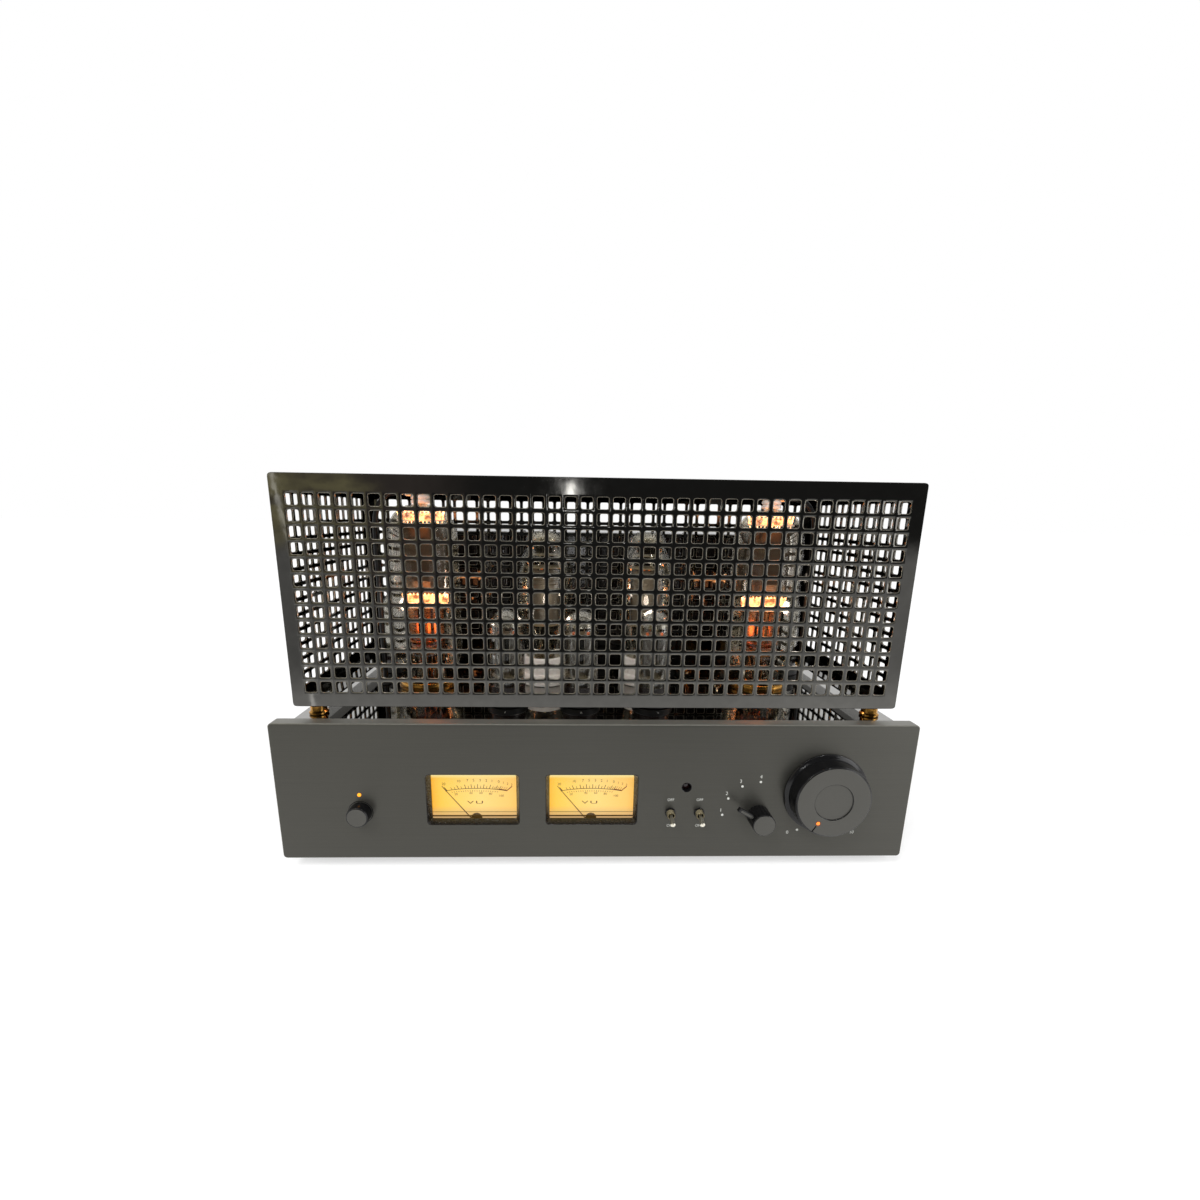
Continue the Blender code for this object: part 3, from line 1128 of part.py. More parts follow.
def make_jacks():
    """Input strip with two rows of phono jacks, each bored for its pin."""
    outline = rounded_rectangle(JACK_STRIP_WIDTH, JACK_STRIP_TALL, STRIP_CORNER)
    strip = lofted("input_jacks", [raised(outline, 0), raised(outline, STRIP_THICKNESS)], "black_plastic")
    on_rear(strip, JACK_SIDE, JACK_HEIGHT)
    root = STRIP_THICKNESS / 2
    collar = STRIP_THICKNESS + JACK_COLLAR_HEIGHT
    tip = STRIP_THICKNESS + JACK_LENGTH
    profile = [(0, root), (JACK_COLLAR_RADIUS, root), (JACK_COLLAR_RADIUS, collar), (JACK_RADIUS, collar),
               (JACK_RADIUS, tip), (JACK_BORE_RADIUS, tip), (JACK_BORE_RADIUS, tip - JACK_BORE_DEPTH),
               (0, tip - JACK_BORE_DEPTH)]
    for row in (-1, 1):
        for column in range(JACK_COLUMNS):
            jack = turned(f"jack_{row}_{column}", profile, "brass", 12)
            offset = (column - (JACK_COLUMNS - 1) / 2) * JACK_PITCH
            on_rear(jack, JACK_SIDE + offset, JACK_HEIGHT + row * JACK_ROW_PITCH / 2)
            fuse(strip, jack)


def make_terminals(name, side):
    """Loudspeaker strip with its binding posts."""
    outline = rounded_rectangle(POST_STRIP_WIDTH, POST_STRIP_TALL, STRIP_CORNER)
    strip = lofted(name, [raised(outline, 0), raised(outline, STRIP_THICKNESS)], "black_plastic")
    on_rear(strip, side, POST_HEIGHT)
    collar = STRIP_THICKNESS + POST_COLLAR_HEIGHT
    tip = STRIP_THICKNESS + POST_LENGTH
    cap = tip - POST_CAP_LENGTH
    profile = [(0, STRIP_THICKNESS / 2), (POST_COLLAR_RADIUS, STRIP_THICKNESS / 2),
               (POST_COLLAR_RADIUS, collar), (POST_RADIUS, collar), (POST_RADIUS, cap), (POST_CAP_RADIUS, cap),
               (POST_CAP_RADIUS, tip - POST_EDGE), (POST_CAP_RADIUS - POST_EDGE, tip), (0, tip)]
    for index in range(POST_COUNT):
        post = turned(f"{name}_post_{index}", profile, "brass", 12)
        on_rear(post, side + (index - (POST_COUNT - 1) / 2) * POST_PITCH, POST_HEIGHT)
        fuse(strip, post)


def main():
    """Clear the scene and build every piece."""
    for leftover in list(bpy.data.objects):
        bpy.data.objects.remove(leftover, do_unlink=True)
    make_front_panel()
    make_chassis()
    make_cage()
    make_meter("left", METER_LEFT_SIDE)
    make_meter("right", METER_RIGHT_SIDE)
    make_volume()
    make_selector()
    make_power()
    make_sensor()
    make_toggle("left", TOGGLE_LEFT_SIDE)
    make_toggle("right", TOGGLE_RIGHT_SIDE)
    make_valves()
    make_transformers()
    make_circuit_board()
    make_inlet()
    make_jacks()
    make_terminals("left_speaker_terminals", POST_LEFT_SIDE)
    make_terminals("right_speaker_terminals", POST_RIGHT_SIDE)


main()
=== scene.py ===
"""Looks of a valve integrated amplifier: brushed front panel, lit meters, turned knobs,
glowing valves under a punched gloss-black cage, transformer covers and rear sockets.

Shapes are written in millimetres in a piece's own plane and placed in metres.
"""

import json
import math

import bmesh
import bpy
import numpy as np
from bpy.props import FloatProperty, FloatVectorProperty, IntProperty, PointerProperty
from mathutils import Matrix, Vector
from mathutils.geometry import tessellate_polygon


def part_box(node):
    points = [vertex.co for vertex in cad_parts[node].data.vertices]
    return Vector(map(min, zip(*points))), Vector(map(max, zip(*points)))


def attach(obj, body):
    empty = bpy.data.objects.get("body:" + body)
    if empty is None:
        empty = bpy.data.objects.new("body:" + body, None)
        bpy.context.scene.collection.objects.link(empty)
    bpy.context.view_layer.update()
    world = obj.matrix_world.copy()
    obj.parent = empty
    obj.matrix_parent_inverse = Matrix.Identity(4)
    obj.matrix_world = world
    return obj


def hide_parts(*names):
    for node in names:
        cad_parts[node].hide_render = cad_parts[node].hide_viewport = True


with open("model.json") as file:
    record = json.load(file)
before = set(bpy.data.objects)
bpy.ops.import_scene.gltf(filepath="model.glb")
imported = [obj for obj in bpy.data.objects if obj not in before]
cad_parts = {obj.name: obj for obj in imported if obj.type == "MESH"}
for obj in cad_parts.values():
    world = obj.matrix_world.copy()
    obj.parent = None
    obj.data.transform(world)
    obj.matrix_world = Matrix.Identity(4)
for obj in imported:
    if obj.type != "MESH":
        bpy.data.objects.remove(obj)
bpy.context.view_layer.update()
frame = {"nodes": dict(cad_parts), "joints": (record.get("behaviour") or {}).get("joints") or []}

bl_info = {
    "name": "Valve Amplifier",
    "version": (1, 0, 0),
    "blender": (4, 5, 0),
    "location": "View3D > Sidebar > Amplifier",
    "description": "Builds the visible pieces and finishes of a valve integrated amplifier",
    "category": "Object",
}

MM = 0.001
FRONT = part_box("front_panel")[0].y
PANEL_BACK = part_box("front_panel")[1].y
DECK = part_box("chassis_tray")[1].z
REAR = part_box("rear_panel")[1].y
CAGE_LOW, CAGE_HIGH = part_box("cage_front")
CAGE_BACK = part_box("cage_rear")[1].y
JOINTS = {joint["name"]: joint for joint in frame["joints"]}

# Distance in metres under which points count as one
MERGE = 0.0000005
# Punched sheet of the cage, in millimetres: hole spacing, hole width and sheet thickness
PITCH, HOLE, SHEET = 11.1, 8.0, 1.5
FRONT_COLUMNS, SIDE_COLUMNS, ROWS = 39, 13, 13
# Gap in metres that the sockets and valves keep to the sheet they stand on
STAND = 0.0003
# Depth in metres of the meter case's recess, whose floor carries the dial
DIAL_RECESS = 0.0042
# Stage: the floor's own grey, the light it adds so that it shows white, and the place in metres where the
# cage's front mirrors the viewer
FLOOR_GREY, FLOOR_GLOW = 0.42, 0.57
MIRRORED_VIEW = (-0.0212, 0.2116, 0.2701)


def linear(code):
    """Linear red, green, blue and alpha of an sRGB hex colour."""
    values = np.array([int(code[i:i + 2], 16) for i in (0, 2, 4)]) / 255
    levels = np.where(values <= 0.04045, values / 12.92, ((values + 0.055) / 1.055) ** 2.4)
    return (*levels.tolist(), 1.0)


# ---- Settings that a user would change ----

def colour(name, code, description):
    """A colour setting with its default given in sRGB hex."""
    return FloatVectorProperty(name=name, description=description, subtype="COLOR", size=4,
                               min=0, max=1, default=linear(code))


class AmplifierFinish(bpy.types.PropertyGroup):
    """Colours and lights of the amplifier's finishes."""
    panel: colour("Panel", "4d4c47", "Anodised colour of the brushed front panel")
    enamel: colour("Enamel", "5c5b58", "Mirror of the deck's and the cage's gloss black coating")
    face: colour("Knob faces", "565551", "Fine-turned faces of the knobs")
    dial: colour("Dial", "ffd27c", "Lit paper of the meters")
    dial_light: FloatProperty(name="Dial light", description="How brightly the meter dials are lit",
                              default=0.95, min=0, max=4)
    glow_light: FloatProperty(name="Filament light", description="How brightly the filaments glow",
                              default=9.0, min=0, max=60)


class AmplifierShape(bpy.types.PropertyGroup):
    """Sizes and steps of the amplifier's finer shapes."""
    hole_corner: FloatProperty(name="Hole corner", description="Corner radius of the cage's punched holes",
                               default=0.0013, min=0.0005, max=0.0035, unit="LENGTH")
    hole_rim: FloatProperty(name="Hole rim", description="Rounding of the sheet at each punched hole",
                            default=0.0004, min=0.0001, max=0.0007, unit="LENGTH")
    fold: FloatProperty(name="Fold", description="Outer bend radius of the cage's folded sheet",
                        default=0.0022, min=0.001, max=0.006, unit="LENGTH")
    round_steps: IntProperty(name="Round steps", description="Segments round the large turned pieces",
                             default=96, min=24, max=256)


class AmplifierStage(bpy.types.PropertyGroup):
    """Camera and lights of the studio."""
    lens: FloatProperty(name="Lens", description="Focal length for a 36 mm sensor", default=16.27,
                        min=8, max=120)
    key: FloatProperty(name="Key light", description="Strength of the soft light from the upper left",
                       default=2.0, min=0, max=10)
    fill: FloatProperty(name="Fill light", description="Strength of the soft light from the camera's side",
                        default=1.3, min=0, max=10)
    ambient: FloatProperty(name="Ambient", description="Strength of the light from all round",
                           default=0.45, min=0, max=2)


# ---- Shapes as whole arrays ----

def grid_faces(rows, columns, wrap_rows=False, wrap_columns=False):
    """Quads joining point (i, j) to (i+1, j), (i+1, j+1) and (i, j+1) of a grid of points."""
    index = np.arange(rows * columns).reshape(rows, columns)
    if wrap_rows:
        index = np.vstack([index, index[:1]])
    if wrap_columns:
        index = np.hstack([index, index[:, :1]])
    corners = (index[:-1, :-1], index[1:, :-1], index[1:, 1:], index[:-1, 1:])
    return np.stack(corners, -1).reshape(-1, 4)


def at_level(outline, level):
    """A flat outline lifted to a height."""
    return np.column_stack([outline, np.full(len(outline), level)])


def circle(steps):
    """Even angles round a circle."""
    return np.arange(steps) * math.tau / steps


def hexagon(half, angle):
    """Radius of a hexagon with that half width at each angle: r = a / cos(t mod 60)."""
    return half / np.cos((angle + math.pi / 6) % (math.pi / 3) - math.pi / 6)


def oval(across, deep, angle, square_x, square_y, swell=1):
    """Flattened tube's outline: x = a |cos t|^p and y = b |sin t|^q with their own signs, times a swell."""
    cosine, sine = np.cos(angle), np.sin(angle)
    return np.column_stack([across * np.sign(cosine) * np.abs(cosine) ** square_x * swell,
                            deep * np.sign(sine) * np.abs(sine) ** square_y * swell])


def polar(radius, angle, level):
    """Ring of points at a radius, or at one radius for each angle, round the axis at a height."""
    return at_level(np.column_stack([radius * np.cos(angle), radius * np.sin(angle)]), level)


def skinned(rings, wrap_rows=False):
    """Open skin through rings of equally many points, carried from the last ring to the first if wrapped."""
    rings = np.stack(rings)
    return rings.reshape(-1, 3), grid_faces(*rings.shape[:2], wrap_rows=wrap_rows, wrap_columns=True)


def stacked(rings):
    """Closed skin through rings of equally many points: each end is drawn to its own middle."""
    rings = np.asarray(rings, float)
    ends = [np.broadcast_to(ring.mean(0), ring.shape) for ring in (rings[0], rings[-1])]
    points = np.concatenate([ends[0][None], rings, ends[1][None]])
    return points.reshape(-1, 3), grid_faces(*points.shape[:2], wrap_columns=True)


def turned(profile, steps=48):
    """Turned solid: P(i, j) = (r_i cos t_j, r_i sin t_j, z_i) for a profile of (r, z)."""
    profile = np.asarray(profile, float)
    angle = circle(steps)
    radius, height = profile[:, :1], profile[:, 1:]
    points = np.stack([radius * np.cos(angle), radius * np.sin(angle),
                       np.broadcast_to(height, (len(profile), steps))], -1)
    return points.reshape(-1, 3), grid_faces(len(profile), steps, wrap_columns=True)


def ring_of(profile, steps=48):
    """Turned ring whose (r, z) profile closes on itself."""
    points, _ = turned(profile, steps)
    return points, grid_faces(len(profile), steps, wrap_rows=True, wrap_columns=True)


def rounded(width, height, corner, steps=5):
    """Outline of a rectangle with round corners: four arcs of the corner radius."""
    arc = np.linspace(0, math.pi / 2, steps + 1)
    angle = np.concatenate([arc - math.pi / 2, arc, arc + math.pi / 2, arc + math.pi])
    side = np.repeat([1, 1, -1, -1], steps + 1) * (width / 2 - corner)
    rise = np.repeat([-1, 1, 1, -1], steps + 1) * (height / 2 - corner)
    return np.stack([side + corner * np.cos(angle), rise + corner * np.sin(angle)], -1)


def slab(outline, low, high, bevel=0.0):
    """Plate of an outline between two heights, its upper edge rounded by a quarter turn."""
    outline = np.asarray(outline, float)
    middle = outline.mean(0)
    reach = np.abs(outline - middle).max(0)
    turn = np.linspace(0, math.pi / 2, 4 if bevel else 1)
    rings = [at_level(outline, low)]
    for angle in turn:
        shrink = 1 - bevel * (1 - math.cos(angle)) / reach
        ring = middle + (outline - middle) * shrink
        rings.append(at_level(ring, high - bevel * (1 - math.sin(angle))))
    return stacked(rings)


def block(size, centre=(0, 0, 0), bevel=0.3):
    """Box with its twelve edges chamfered: three nested sets of rings up its height."""
    width, depth, height = size
    flat = rounded(width, depth, min(bevel * 1.5, width / 2.1, depth / 2.1), 2)
    inner = flat * (1 - 2 * bevel / np.array([width, depth]))
    levels = ((inner, -height / 2), (flat, bevel - height / 2), (flat, height / 2 - bevel),
              (inner, height / 2))
    points, faces = stacked([at_level(ring, level) for ring, level in levels])
    return points + np.array(centre, float), faces


def tube(path, radius, sides=10):
    """Round rod on a path: P(i, j) = c_i + r_i (n_i cos t_j + b_i sin t_j), with n and b square to its run."""
    path = np.asarray(path, float)
    run = np.gradient(path, axis=0)
    run /= np.linalg.norm(run, axis=1, keepdims=True)
    spread = path.max(0) - path.min(0)
    reference = np.eye(3)[int(np.argmin(spread))]
    normal = np.cross(run, reference)
    weak = np.linalg.norm(normal, axis=1, keepdims=True) < 0.05
    normal = np.where(weak, np.cross(run, np.roll(reference, 1)), normal)
    normal /= np.linalg.norm(normal, axis=1, keepdims=True)
    binormal = np.cross(run, normal)
    angle = np.arange(sides) * math.tau / sides
    radius = np.broadcast_to(np.asarray(radius, float), (len(path),))[:, None, None]
    rings = (path[:, None] + radius * (normal[:, None] * np.cos(angle)[:, None]
                                       + binormal[:, None] * np.sin(angle)[:, None]))
    return stacked(rings)


def smooth_path(points, steps=6):
    """Smooth curve through points: each span blends its four nearest points by a cubic."""
    points = np.asarray(points, float)
    ends = np.vstack([2 * points[0] - points[1], points, 2 * points[-1] - points[-2]])
    share = (np.arange(steps) / steps)[None, :, None]
    a, b, c, d = (ends[i:len(ends) - 3 + i, None] for i in range(4))
    spans = 0.5 * (2 * b + (c - a) * share + (2 * a - 5 * b + 4 * c - d) * share ** 2
                   + (3 * b - a - 3 * c + d) * share ** 3)
    return np.vstack([spans.reshape(-1, 3), points[-1:]])


def filled(loops):
    """Flat face with holes: the first loop is its outline, the others its holes, cut into triangles."""
    triangles = tessellate_polygon([[Vector(point) for point in loop.tolist()] for loop in loops])
    corners = np.array(triangles)
    return np.vstack(loops), np.column_stack([corners, corners[:, 2]])


def together(*shapes):
    """Several shapes as one: their faces count on from each other's points."""
    points, faces, count = [], [], 0
    for shape_points, shape_faces in shapes:
        points.append(shape_points)
        faces.append(np.asarray(shape_faces) + count)
        count += len(shape_points)
    return np.vstack(points), np.vstack(faces)


def moved(shape, offset):
    """The same shape at an offset."""
    return shape[0] + np.asarray(offset, float), shape[1]


def spun(shape, degrees):
    """The same shape turned clockwise about its own +Z, as seen from its front."""
    angle = math.radians(degrees)
    turn = np.array([[math.cos(angle), math.sin(angle), 0], [-math.sin(angle), math.cos(angle), 0], [0, 0, 1]])
    return shape[0] @ turn.T, shape[1]


def facing(shape, way, origin):
    """Place a millimetre shape in the amplifier: its +Z points up, to the front or to the rear."""
    ways = {"up": ((1, 0, 0), (0, 1, 0), (0, 0, 1)), "front": ((1, 0, 0), (0, 0, 1), (0, -1, 0)),
            "rear": ((-1, 0, 0), (0, 0, 1), (0, 1, 0))}
    return shape[0] @ np.array(ways[way], float) * MM + np.array(origin, float), shape[1]


def lettering(text, size):
    """Flat mesh of plain figures, of a height in millimetres, lying in its own plane."""
    curve = bpy.data.curves.new(text, "FONT")
    curve.body, curve.size, curve.align_x, curve.align_y = text, size * 1.35, "CENTER", "CENTER"
    curve.resolution_u = 3
    holder = bpy.data.objects.new(text, curve)
    mesh = bpy.data.meshes.new_from_object(holder)
    points = np.array([vertex.co for vertex in mesh.vertices])
    faces = [tuple(face.vertices) for face in mesh.polygons]
    bpy.data.objects.remove(holder)
    bpy.data.curves.remove(curve)
    bpy.data.meshes.remove(mesh)
    triangles = [(face[0], face[i], face[i + 1]) for face in faces for i in range(1, len(face) - 1)]
    quads = [(a, b, c, c) for a, b, c in triangles]
    return points, np.array(quads)


def piece(name, shape, finish, body="chassis", slot=None, replaces=(), flat=False,
          second=None):
    """Put a placed shape in the scene with its finish, riding on its body.

    A shape is its points, its faces (a triangle repeats its last corner) and, where it has two finishes,
    each face's finish number.
    """
    points, faces = shape[:2]
    kinds = shape[2] if len(shape) > 2 else np.zeros(len(faces), np.int32)
    three = faces[:, 2] == faces[:, 3]
    mesh = bpy.data.meshes.new(name)
    mesh.from_pydata(points.tolist(), [], faces[three][:, :3].tolist() + faces[~three].tolist())
    mesh.polygons.foreach_set("material_index", np.concatenate([kinds[three], kinds[~three]]).astype(np.int32))
    work = bmesh.new()
    work.from_mesh(mesh)
    bmesh.ops.remove_doubles(work, verts=work.verts, dist=MERGE)
    bmesh.ops.dissolve_degenerate(work, edges=work.edges, dist=MERGE)
    if not flat:
        bmesh.ops.recalc_face_normals(work, faces=work.faces)
    work.to_mesh(mesh)
    work.free()
    mesh.shade_smooth()
    mesh.set_sharp_from_angle(angle=math.radians(35))
    mesh.materials.append(finish)
    if second:
        mesh.materials.append(second)
    made = bpy.data.objects.new(name, mesh)
    bpy.context.scene.collection.objects.link(made)
    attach(made, body)
    if replaces:
        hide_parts(*replaces)
    return made


def dress(finish, *nodes):
    """Give carried-over CAD nodes a finish."""
    for name in nodes:
        mesh = frame["nodes"][name].data
        mesh.materials.clear()
        mesh.materials.append(finish)


# ---- Finishes ----

def add(tree, kind, sockets=None, **settings):
    """Add one node: settings are its properties; sockets take a value or a (node, output) link."""
    made = tree.nodes.new("ShaderNode" + kind)
    for name, value in settings.items():
        setattr(made, name, value)
    for name, value in (sockets or {}).items():
        if isinstance(value, tuple) and isinstance(value[0], bpy.types.Node):
            tree.links.new(value[0].outputs[value[1]], made.inputs[name])
        else:
            made.inputs[name].default_value = value
    return made


def finish_of(name, make):
    """The finish of that name, made by its own function the first time."""
    found = bpy.data.materials.get(name)
    if found is None:
        found = bpy.data.materials.new(name)
        found.use_nodes = True
        make(found.node_tree, found.node_tree.nodes["Principled BSDF"])
    return found


def settle(shader, **values):
    """Set a shader's own sockets by name, with underscores for spaces."""
    for name, value in values.items():
        shader.inputs[name.replace("_", " ")].default_value = value


def grained(tree, stretch, detail=2.0):
    """Noise on Object coordinates, its frequency along each axis given per metre."""
    place = add(tree, "TexCoord")
    spread = add(tree, "Mapping", {"Vector": (place, "Object"), "Scale": stretch})
    return add(tree, "TexNoise", {"Vector": (spread, "Vector"), "Scale": 1.0, "Detail": detail,
                                  "Roughness": 0.6})


def ranged(tree, source, low, high):
    """Spread a 0 to 1 pattern over a range of values."""
    return add(tree, "MapRange", {"Value": source, "From Min": 0.3, "From Max": 0.7,
                                  "To Min": low, "To Max": high})


def calc(tree, operation, *values):
    """One sum of values or links, given back as a link."""
    return add(tree, "Math", dict(enumerate(values)), operation=operation), "Value"


def eased(tree, source, start, end, low=0.0, high=1.0):
    """Smooth step of a link from one value to another, given back as a link."""
    return add(tree, "MapRange", {"Value": source, "From Min": start, "From Max": end, "To Min": low,
                                  "To Max": high}, interpolation_type="SMOOTHSTEP"), "Result"


def roughened(tree, shader, source, low, high, height, distance=0.0001):
    """Drive roughness and bump from one pattern; distance is the pattern's depth in metres."""
    rough = ranged(tree, source, low, high)
    tree.links.new(rough.outputs["Result"], shader.inputs["Roughness"])
    bump = add(tree, "Bump", {"Height": source, "Strength": height, "Distance": distance})
    tree.links.new(bump.outputs["Normal"], shader.inputs["Normal"])


def tinted(tree, shader, source, dark, light):
    """Drive the colour between two colours by a pattern."""
    mix = add(tree, "Mix", data_type="RGBA")
    tree.links.new(source[0].outputs[source[1]], mix.inputs["Factor"])
    mix.inputs[6].default_value = dark
    mix.inputs[7].default_value = light
    tree.links.new(mix.outputs[2], shader.inputs["Base Color"])


def shade(base, factor):
    """A colour lightened or darkened by a factor."""
    return (*[min(channel * factor, 1) for channel in base[:3]], 1.0)


def setting(name):
    """One colour of the finish settings."""
    return tuple(getattr(bpy.context.scene.amplifier_finish, name))


def patterned(name, stretch, detail, tones, rough, height, distance=0.00003, brushed=False, **sockets):
    """A finish whose colour, roughness and bump follow one noise pattern, given per metre along each axis."""
    def make(tree, shader):
        skin = grained(tree, stretch, detail)
        settle(shader, **sockets)
        tinted(tree, shader, (ranged(tree, (skin, "Fac"), 0, 1), "Result"), *tones)
        roughened(tree, shader, (skin, "Fac"), *rough, height, distance)
        if brushed:
            lay = add(tree, "Tangent", direction_type="RADIAL", axis="Z")
            tree.links.new(lay.outputs["Tangent"], shader.inputs["Tangent"])
    return finish_of(name, make)


def brushed_aluminium():
    """Thick aluminium plate, brushed across and anodised grey: long fine lines, a soft upright sheen.
    The real lines are 0.1 mm apart; they are drawn about 0.5 mm apart so that they show."""
    base = setting("panel")
    return patterned("brushed_anodised_aluminium", (14, 14, 2100), 3, (shade(base, 0.95), shade(base, 1.05)),
                     (0.32, 0.40), 0.08, brushed=True, Metallic=0.75, Anisotropic=0.7, Anisotropic_Rotation=0.25)


def brushed_edge():
    """The same plate's sawn and sanded edge, anodised with it: a satin line round the front, made paler as a
    painted highlight where the rounded edge catches the light.
    """
    base = setting("panel")
    return patterned("sanded_anodised_edge", (300, 1500, 300), 2, (shade(base, 2.0), shade(base, 2.4)),
                     (0.3, 0.4), 0.05, Metallic=0.6)


def gloss_coating():
    """Gloss black coating over a bright plated sheet: a dark mirror, with a faint wave of about 6 mm."""
    base = setting("enamel")
    return patterned("gloss_black_coating", (160, 160, 160), 1, (shade(base, 0.94), shade(base, 1.04)),
                     (0.03, 0.05), 0.08, 0.00015, Metallic=1.0)


def deck_coating():
    """The deck's coating, polished flat: black from above, and a bright mirror at a low angle."""
    def make(tree, shader):
        base = setting("enamel")
        edge = add(tree, "LayerWeight", {"Blend": 0.5})
        low_angle = eased(tree, (edge, "Facing"), 0.42, 0.66)
        settle(shader, Metallic=1.0)
        tinted(tree, shader, low_angle, base, linear("9a9996"))
        wave = grained(tree, (120, 120, 120), 1)
        roughened(tree, shader, (wave, "Fac"), 0.02, 0.04, 0.03, 0.0001)
    return finish_of("flat_black_deck_coating", make)


def coated_edge():
    """The same coating, thin over a punched edge: a paler satin line, a painted highlight where the rounded rim
    catches the light.
    """
    return patterned("thin_coated_edge", (700, 700, 700), 2, (linear("6c685e"), linear("8d887b")), (0.3, 0.42),
                     0.03, Metallic=0.85)


def satin_enamel():
    """Sprayed satin enamel on steel: black with an even orange-peel of about 0.8 mm."""
    return patterned("satin_black_enamel", (1200, 1200, 1200), 2, (linear("111112"), linear("191919")),
                     (0.27, 0.38), 0.10, 0.00006)


def cover_enamel():
    """Two-coat semi-gloss enamel of the transformer covers: black with a faint brown that is a painted reflection,
    and a faint long wave.
    """
    return patterned("cover_black_enamel", (90, 90, 90), 3, (linear("15110f"), linear("1e1815")), (0.13, 0.22),
                     0.10, 0.0003)


def turned_black():
    """Aluminium turned, polished and anodised black: near-mirror sides with faint turning lines."""
    return patterned("black_anodised_turning", (900, 2600, 900), 2, (linear("101011"), linear("19191a")),
                     (0.12, 0.2), 0.05, Metallic=0.4)


def turned_face():
    """End face turned with a fine tool and anodised grey: satin, with fine grain of about 0.5 mm."""
    base = setting("face")
    return patterned("grey_turned_face", (2200, 2200, 2200), 3, (shade(base, 0.92), shade(base, 1.06)),
                     (0.42, 0.52), 0.05, Metallic=0.7)


def polished(name, code, low, high, scale=500):
    """Polished or plated metal: its own colour, with faint wiping marks that vary its shine."""
    base = linear(code)
    return patterned(name, (scale, scale, scale * 2), 3, (shade(base, 0.9), shade(base, 1.05)), (low, high),
                     0.04, Metallic=1.0)


def diamond_cut():
    """Bevel cut with a diamond tool after anodising: a dark narrow mirror that catches small lights."""
    return polished("diamond_cut_bevel", "3a3a3a", 0.07, 0.12, 90)


def brass():
    """Lacquered turned brass: warm brown-gold with soft marks."""
    return polished("lacquered_brass", "b98a45", 0.16, 0.24, 60)


def heated_nickel():
    """Nickel rods and plates, coppery: the colour is painted light of the filaments, which also light them."""
    return polished("heat_coloured_nickel", "c48a62", 0.2, 0.34, 260)


def nickel():
    """Bright nickel plate: slightly warm silver."""
    return polished("bright_nickel", "d8d4c8", 0.12, 0.24)


def bright_lever():
    """Satin nickel of the toggle levers: pale, with a soft shine."""
    return polished("satin_nickel", "efebdc", 0.3, 0.42)


def gold_plate():
    """Gold-plated brass contacts: rich yellow, very smooth."""
    return polished("gold_plate", "e6bd62", 0.12, 0.2)


def sheet_nickel():
    """Nickel sheet of a valve's inner plates, greyed by heat: dull, with fine rolling lines."""
    return polished("heat_greyed_nickel", "8d8882", 0.38, 0.55, 900)


def graphite():
    """Carbonised anode: dark grey, dull, with a warm reflection."""
    return polished("carbonised_anode", "6a645e", 0.45, 0.6, 700)


def moulded(name, code, low=0.35, high=0.5, scale=1500, height=0.08):
    """Moulded plastic or rubber: one colour with a fine mould texture under 1 mm."""
    base = linear(code)
    return patterned(name, (scale, scale, scale), 2, (shade(base, 0.9), shade(base, 1.1)), (low, high), height,
                     0.00005, IOR=1.5)


def black_plastic():
    """Black nylon of sockets and switch bodies."""
    return moulded("black_nylon", "171717")


def rubber():
    """Moulded rubber of the feet."""
    return moulded("black_rubber", "121212", 0.6, 0.8, 900, 0.15)


def lead_sleeve():
    """Silicone sleeve of the anode leads."""
    return moulded("black_silicone", "101010", 0.3, 0.4)


def ceramic():
    """Glazed steatite: off-white with a soft gloss and faint cream clouding of about 4 mm."""
    return patterned("glazed_steatite", (250, 250, 250), 3, (linear("ebe7df"), linear("f8f5f0")), (0.25, 0.4),
                     0.03, 0.0001, Coat_Weight=0.4, Coat_Roughness=0.1)


def thin_glass(name, tint, index, haze=0.0):
    """Blown glass wall: light passes straight through its tint, and its two faces mirror by their index.
    Faint ripples of about 15 mm move the reflections, as in hand-drawn glass."""
    def make(tree, shader):
        ripple = grained(tree, (60, 60, 60), 1)
        bump = add(tree, "Bump", {"Height": (ripple, "Fac"), "Strength": 0.04, "Distance": 0.0004})
        settle(shader, Base_Color=linear("ffffff"), Metallic=1.0)
        gloss = ranged(tree, (ripple, "Fac"), 0.01, 0.04)
        tree.links.new(gloss.outputs["Result"], shader.inputs["Roughness"])
        tree.links.new(bump.outputs["Normal"], shader.inputs["Normal"])
        through = add(tree, "BsdfTransparent", {"Color": linear(tint)})
        edge = add(tree, "Fresnel", {"IOR": index, "Normal": (bump, "Normal")})
        share = add(tree, "MapRange", {"Value": (edge, "Fac"), "To Min": haze, "To Max": 0.42})
        mix = add(tree, "MixShader", {0: (share, "Result"), 1: (through, "BSDF"), 2: (shader, "BSDF")})
        out = tree.nodes["Material Output"]
        tree.links.new(mix.outputs["Shader"], out.inputs["Surface"])
    return finish_of(name, make)


def getter():
    """Flashed metal film inside a valve's top: soft silver, browner and thinner at its rim."""
    return patterned("getter_mirror", (220, 220, 120), 2, (linear("c4beb2"), linear("f4f2ec")), (0.16, 0.34),
                     0.1, 0.0002, Metallic=0.8)


def mica():
    """Split mica spacer: pale brown, glassy flakes of about 3 mm."""
    return moulded("split_mica", "b3a68f", 0.2, 0.5, 300, 0.2)


def glowing(name, code, strength, cool=0.5):
    """Heated metal: it gives its own light, white-hot in patches of about 6 mm and cooler between them. It is also
    used for a painted glow of the filaments' light on plates behind them.
    """
    def make(tree, shader):
        heat = grained(tree, (170, 170, 170), 2)
        level = add(tree, "MapRange", {"Value": (heat, "Fac"), "From Min": 0.38, "From Max": 0.6,
                                       "To Min": strength * cool, "To Max": strength * 1.3})
        settle(shader, Base_Color=linear("40200f"), Emission_Color=linear(code), Roughness=0.6)
        tree.links.new(level.outputs["Result"], shader.inputs["Emission Strength"])
    return finish_of(name, make)


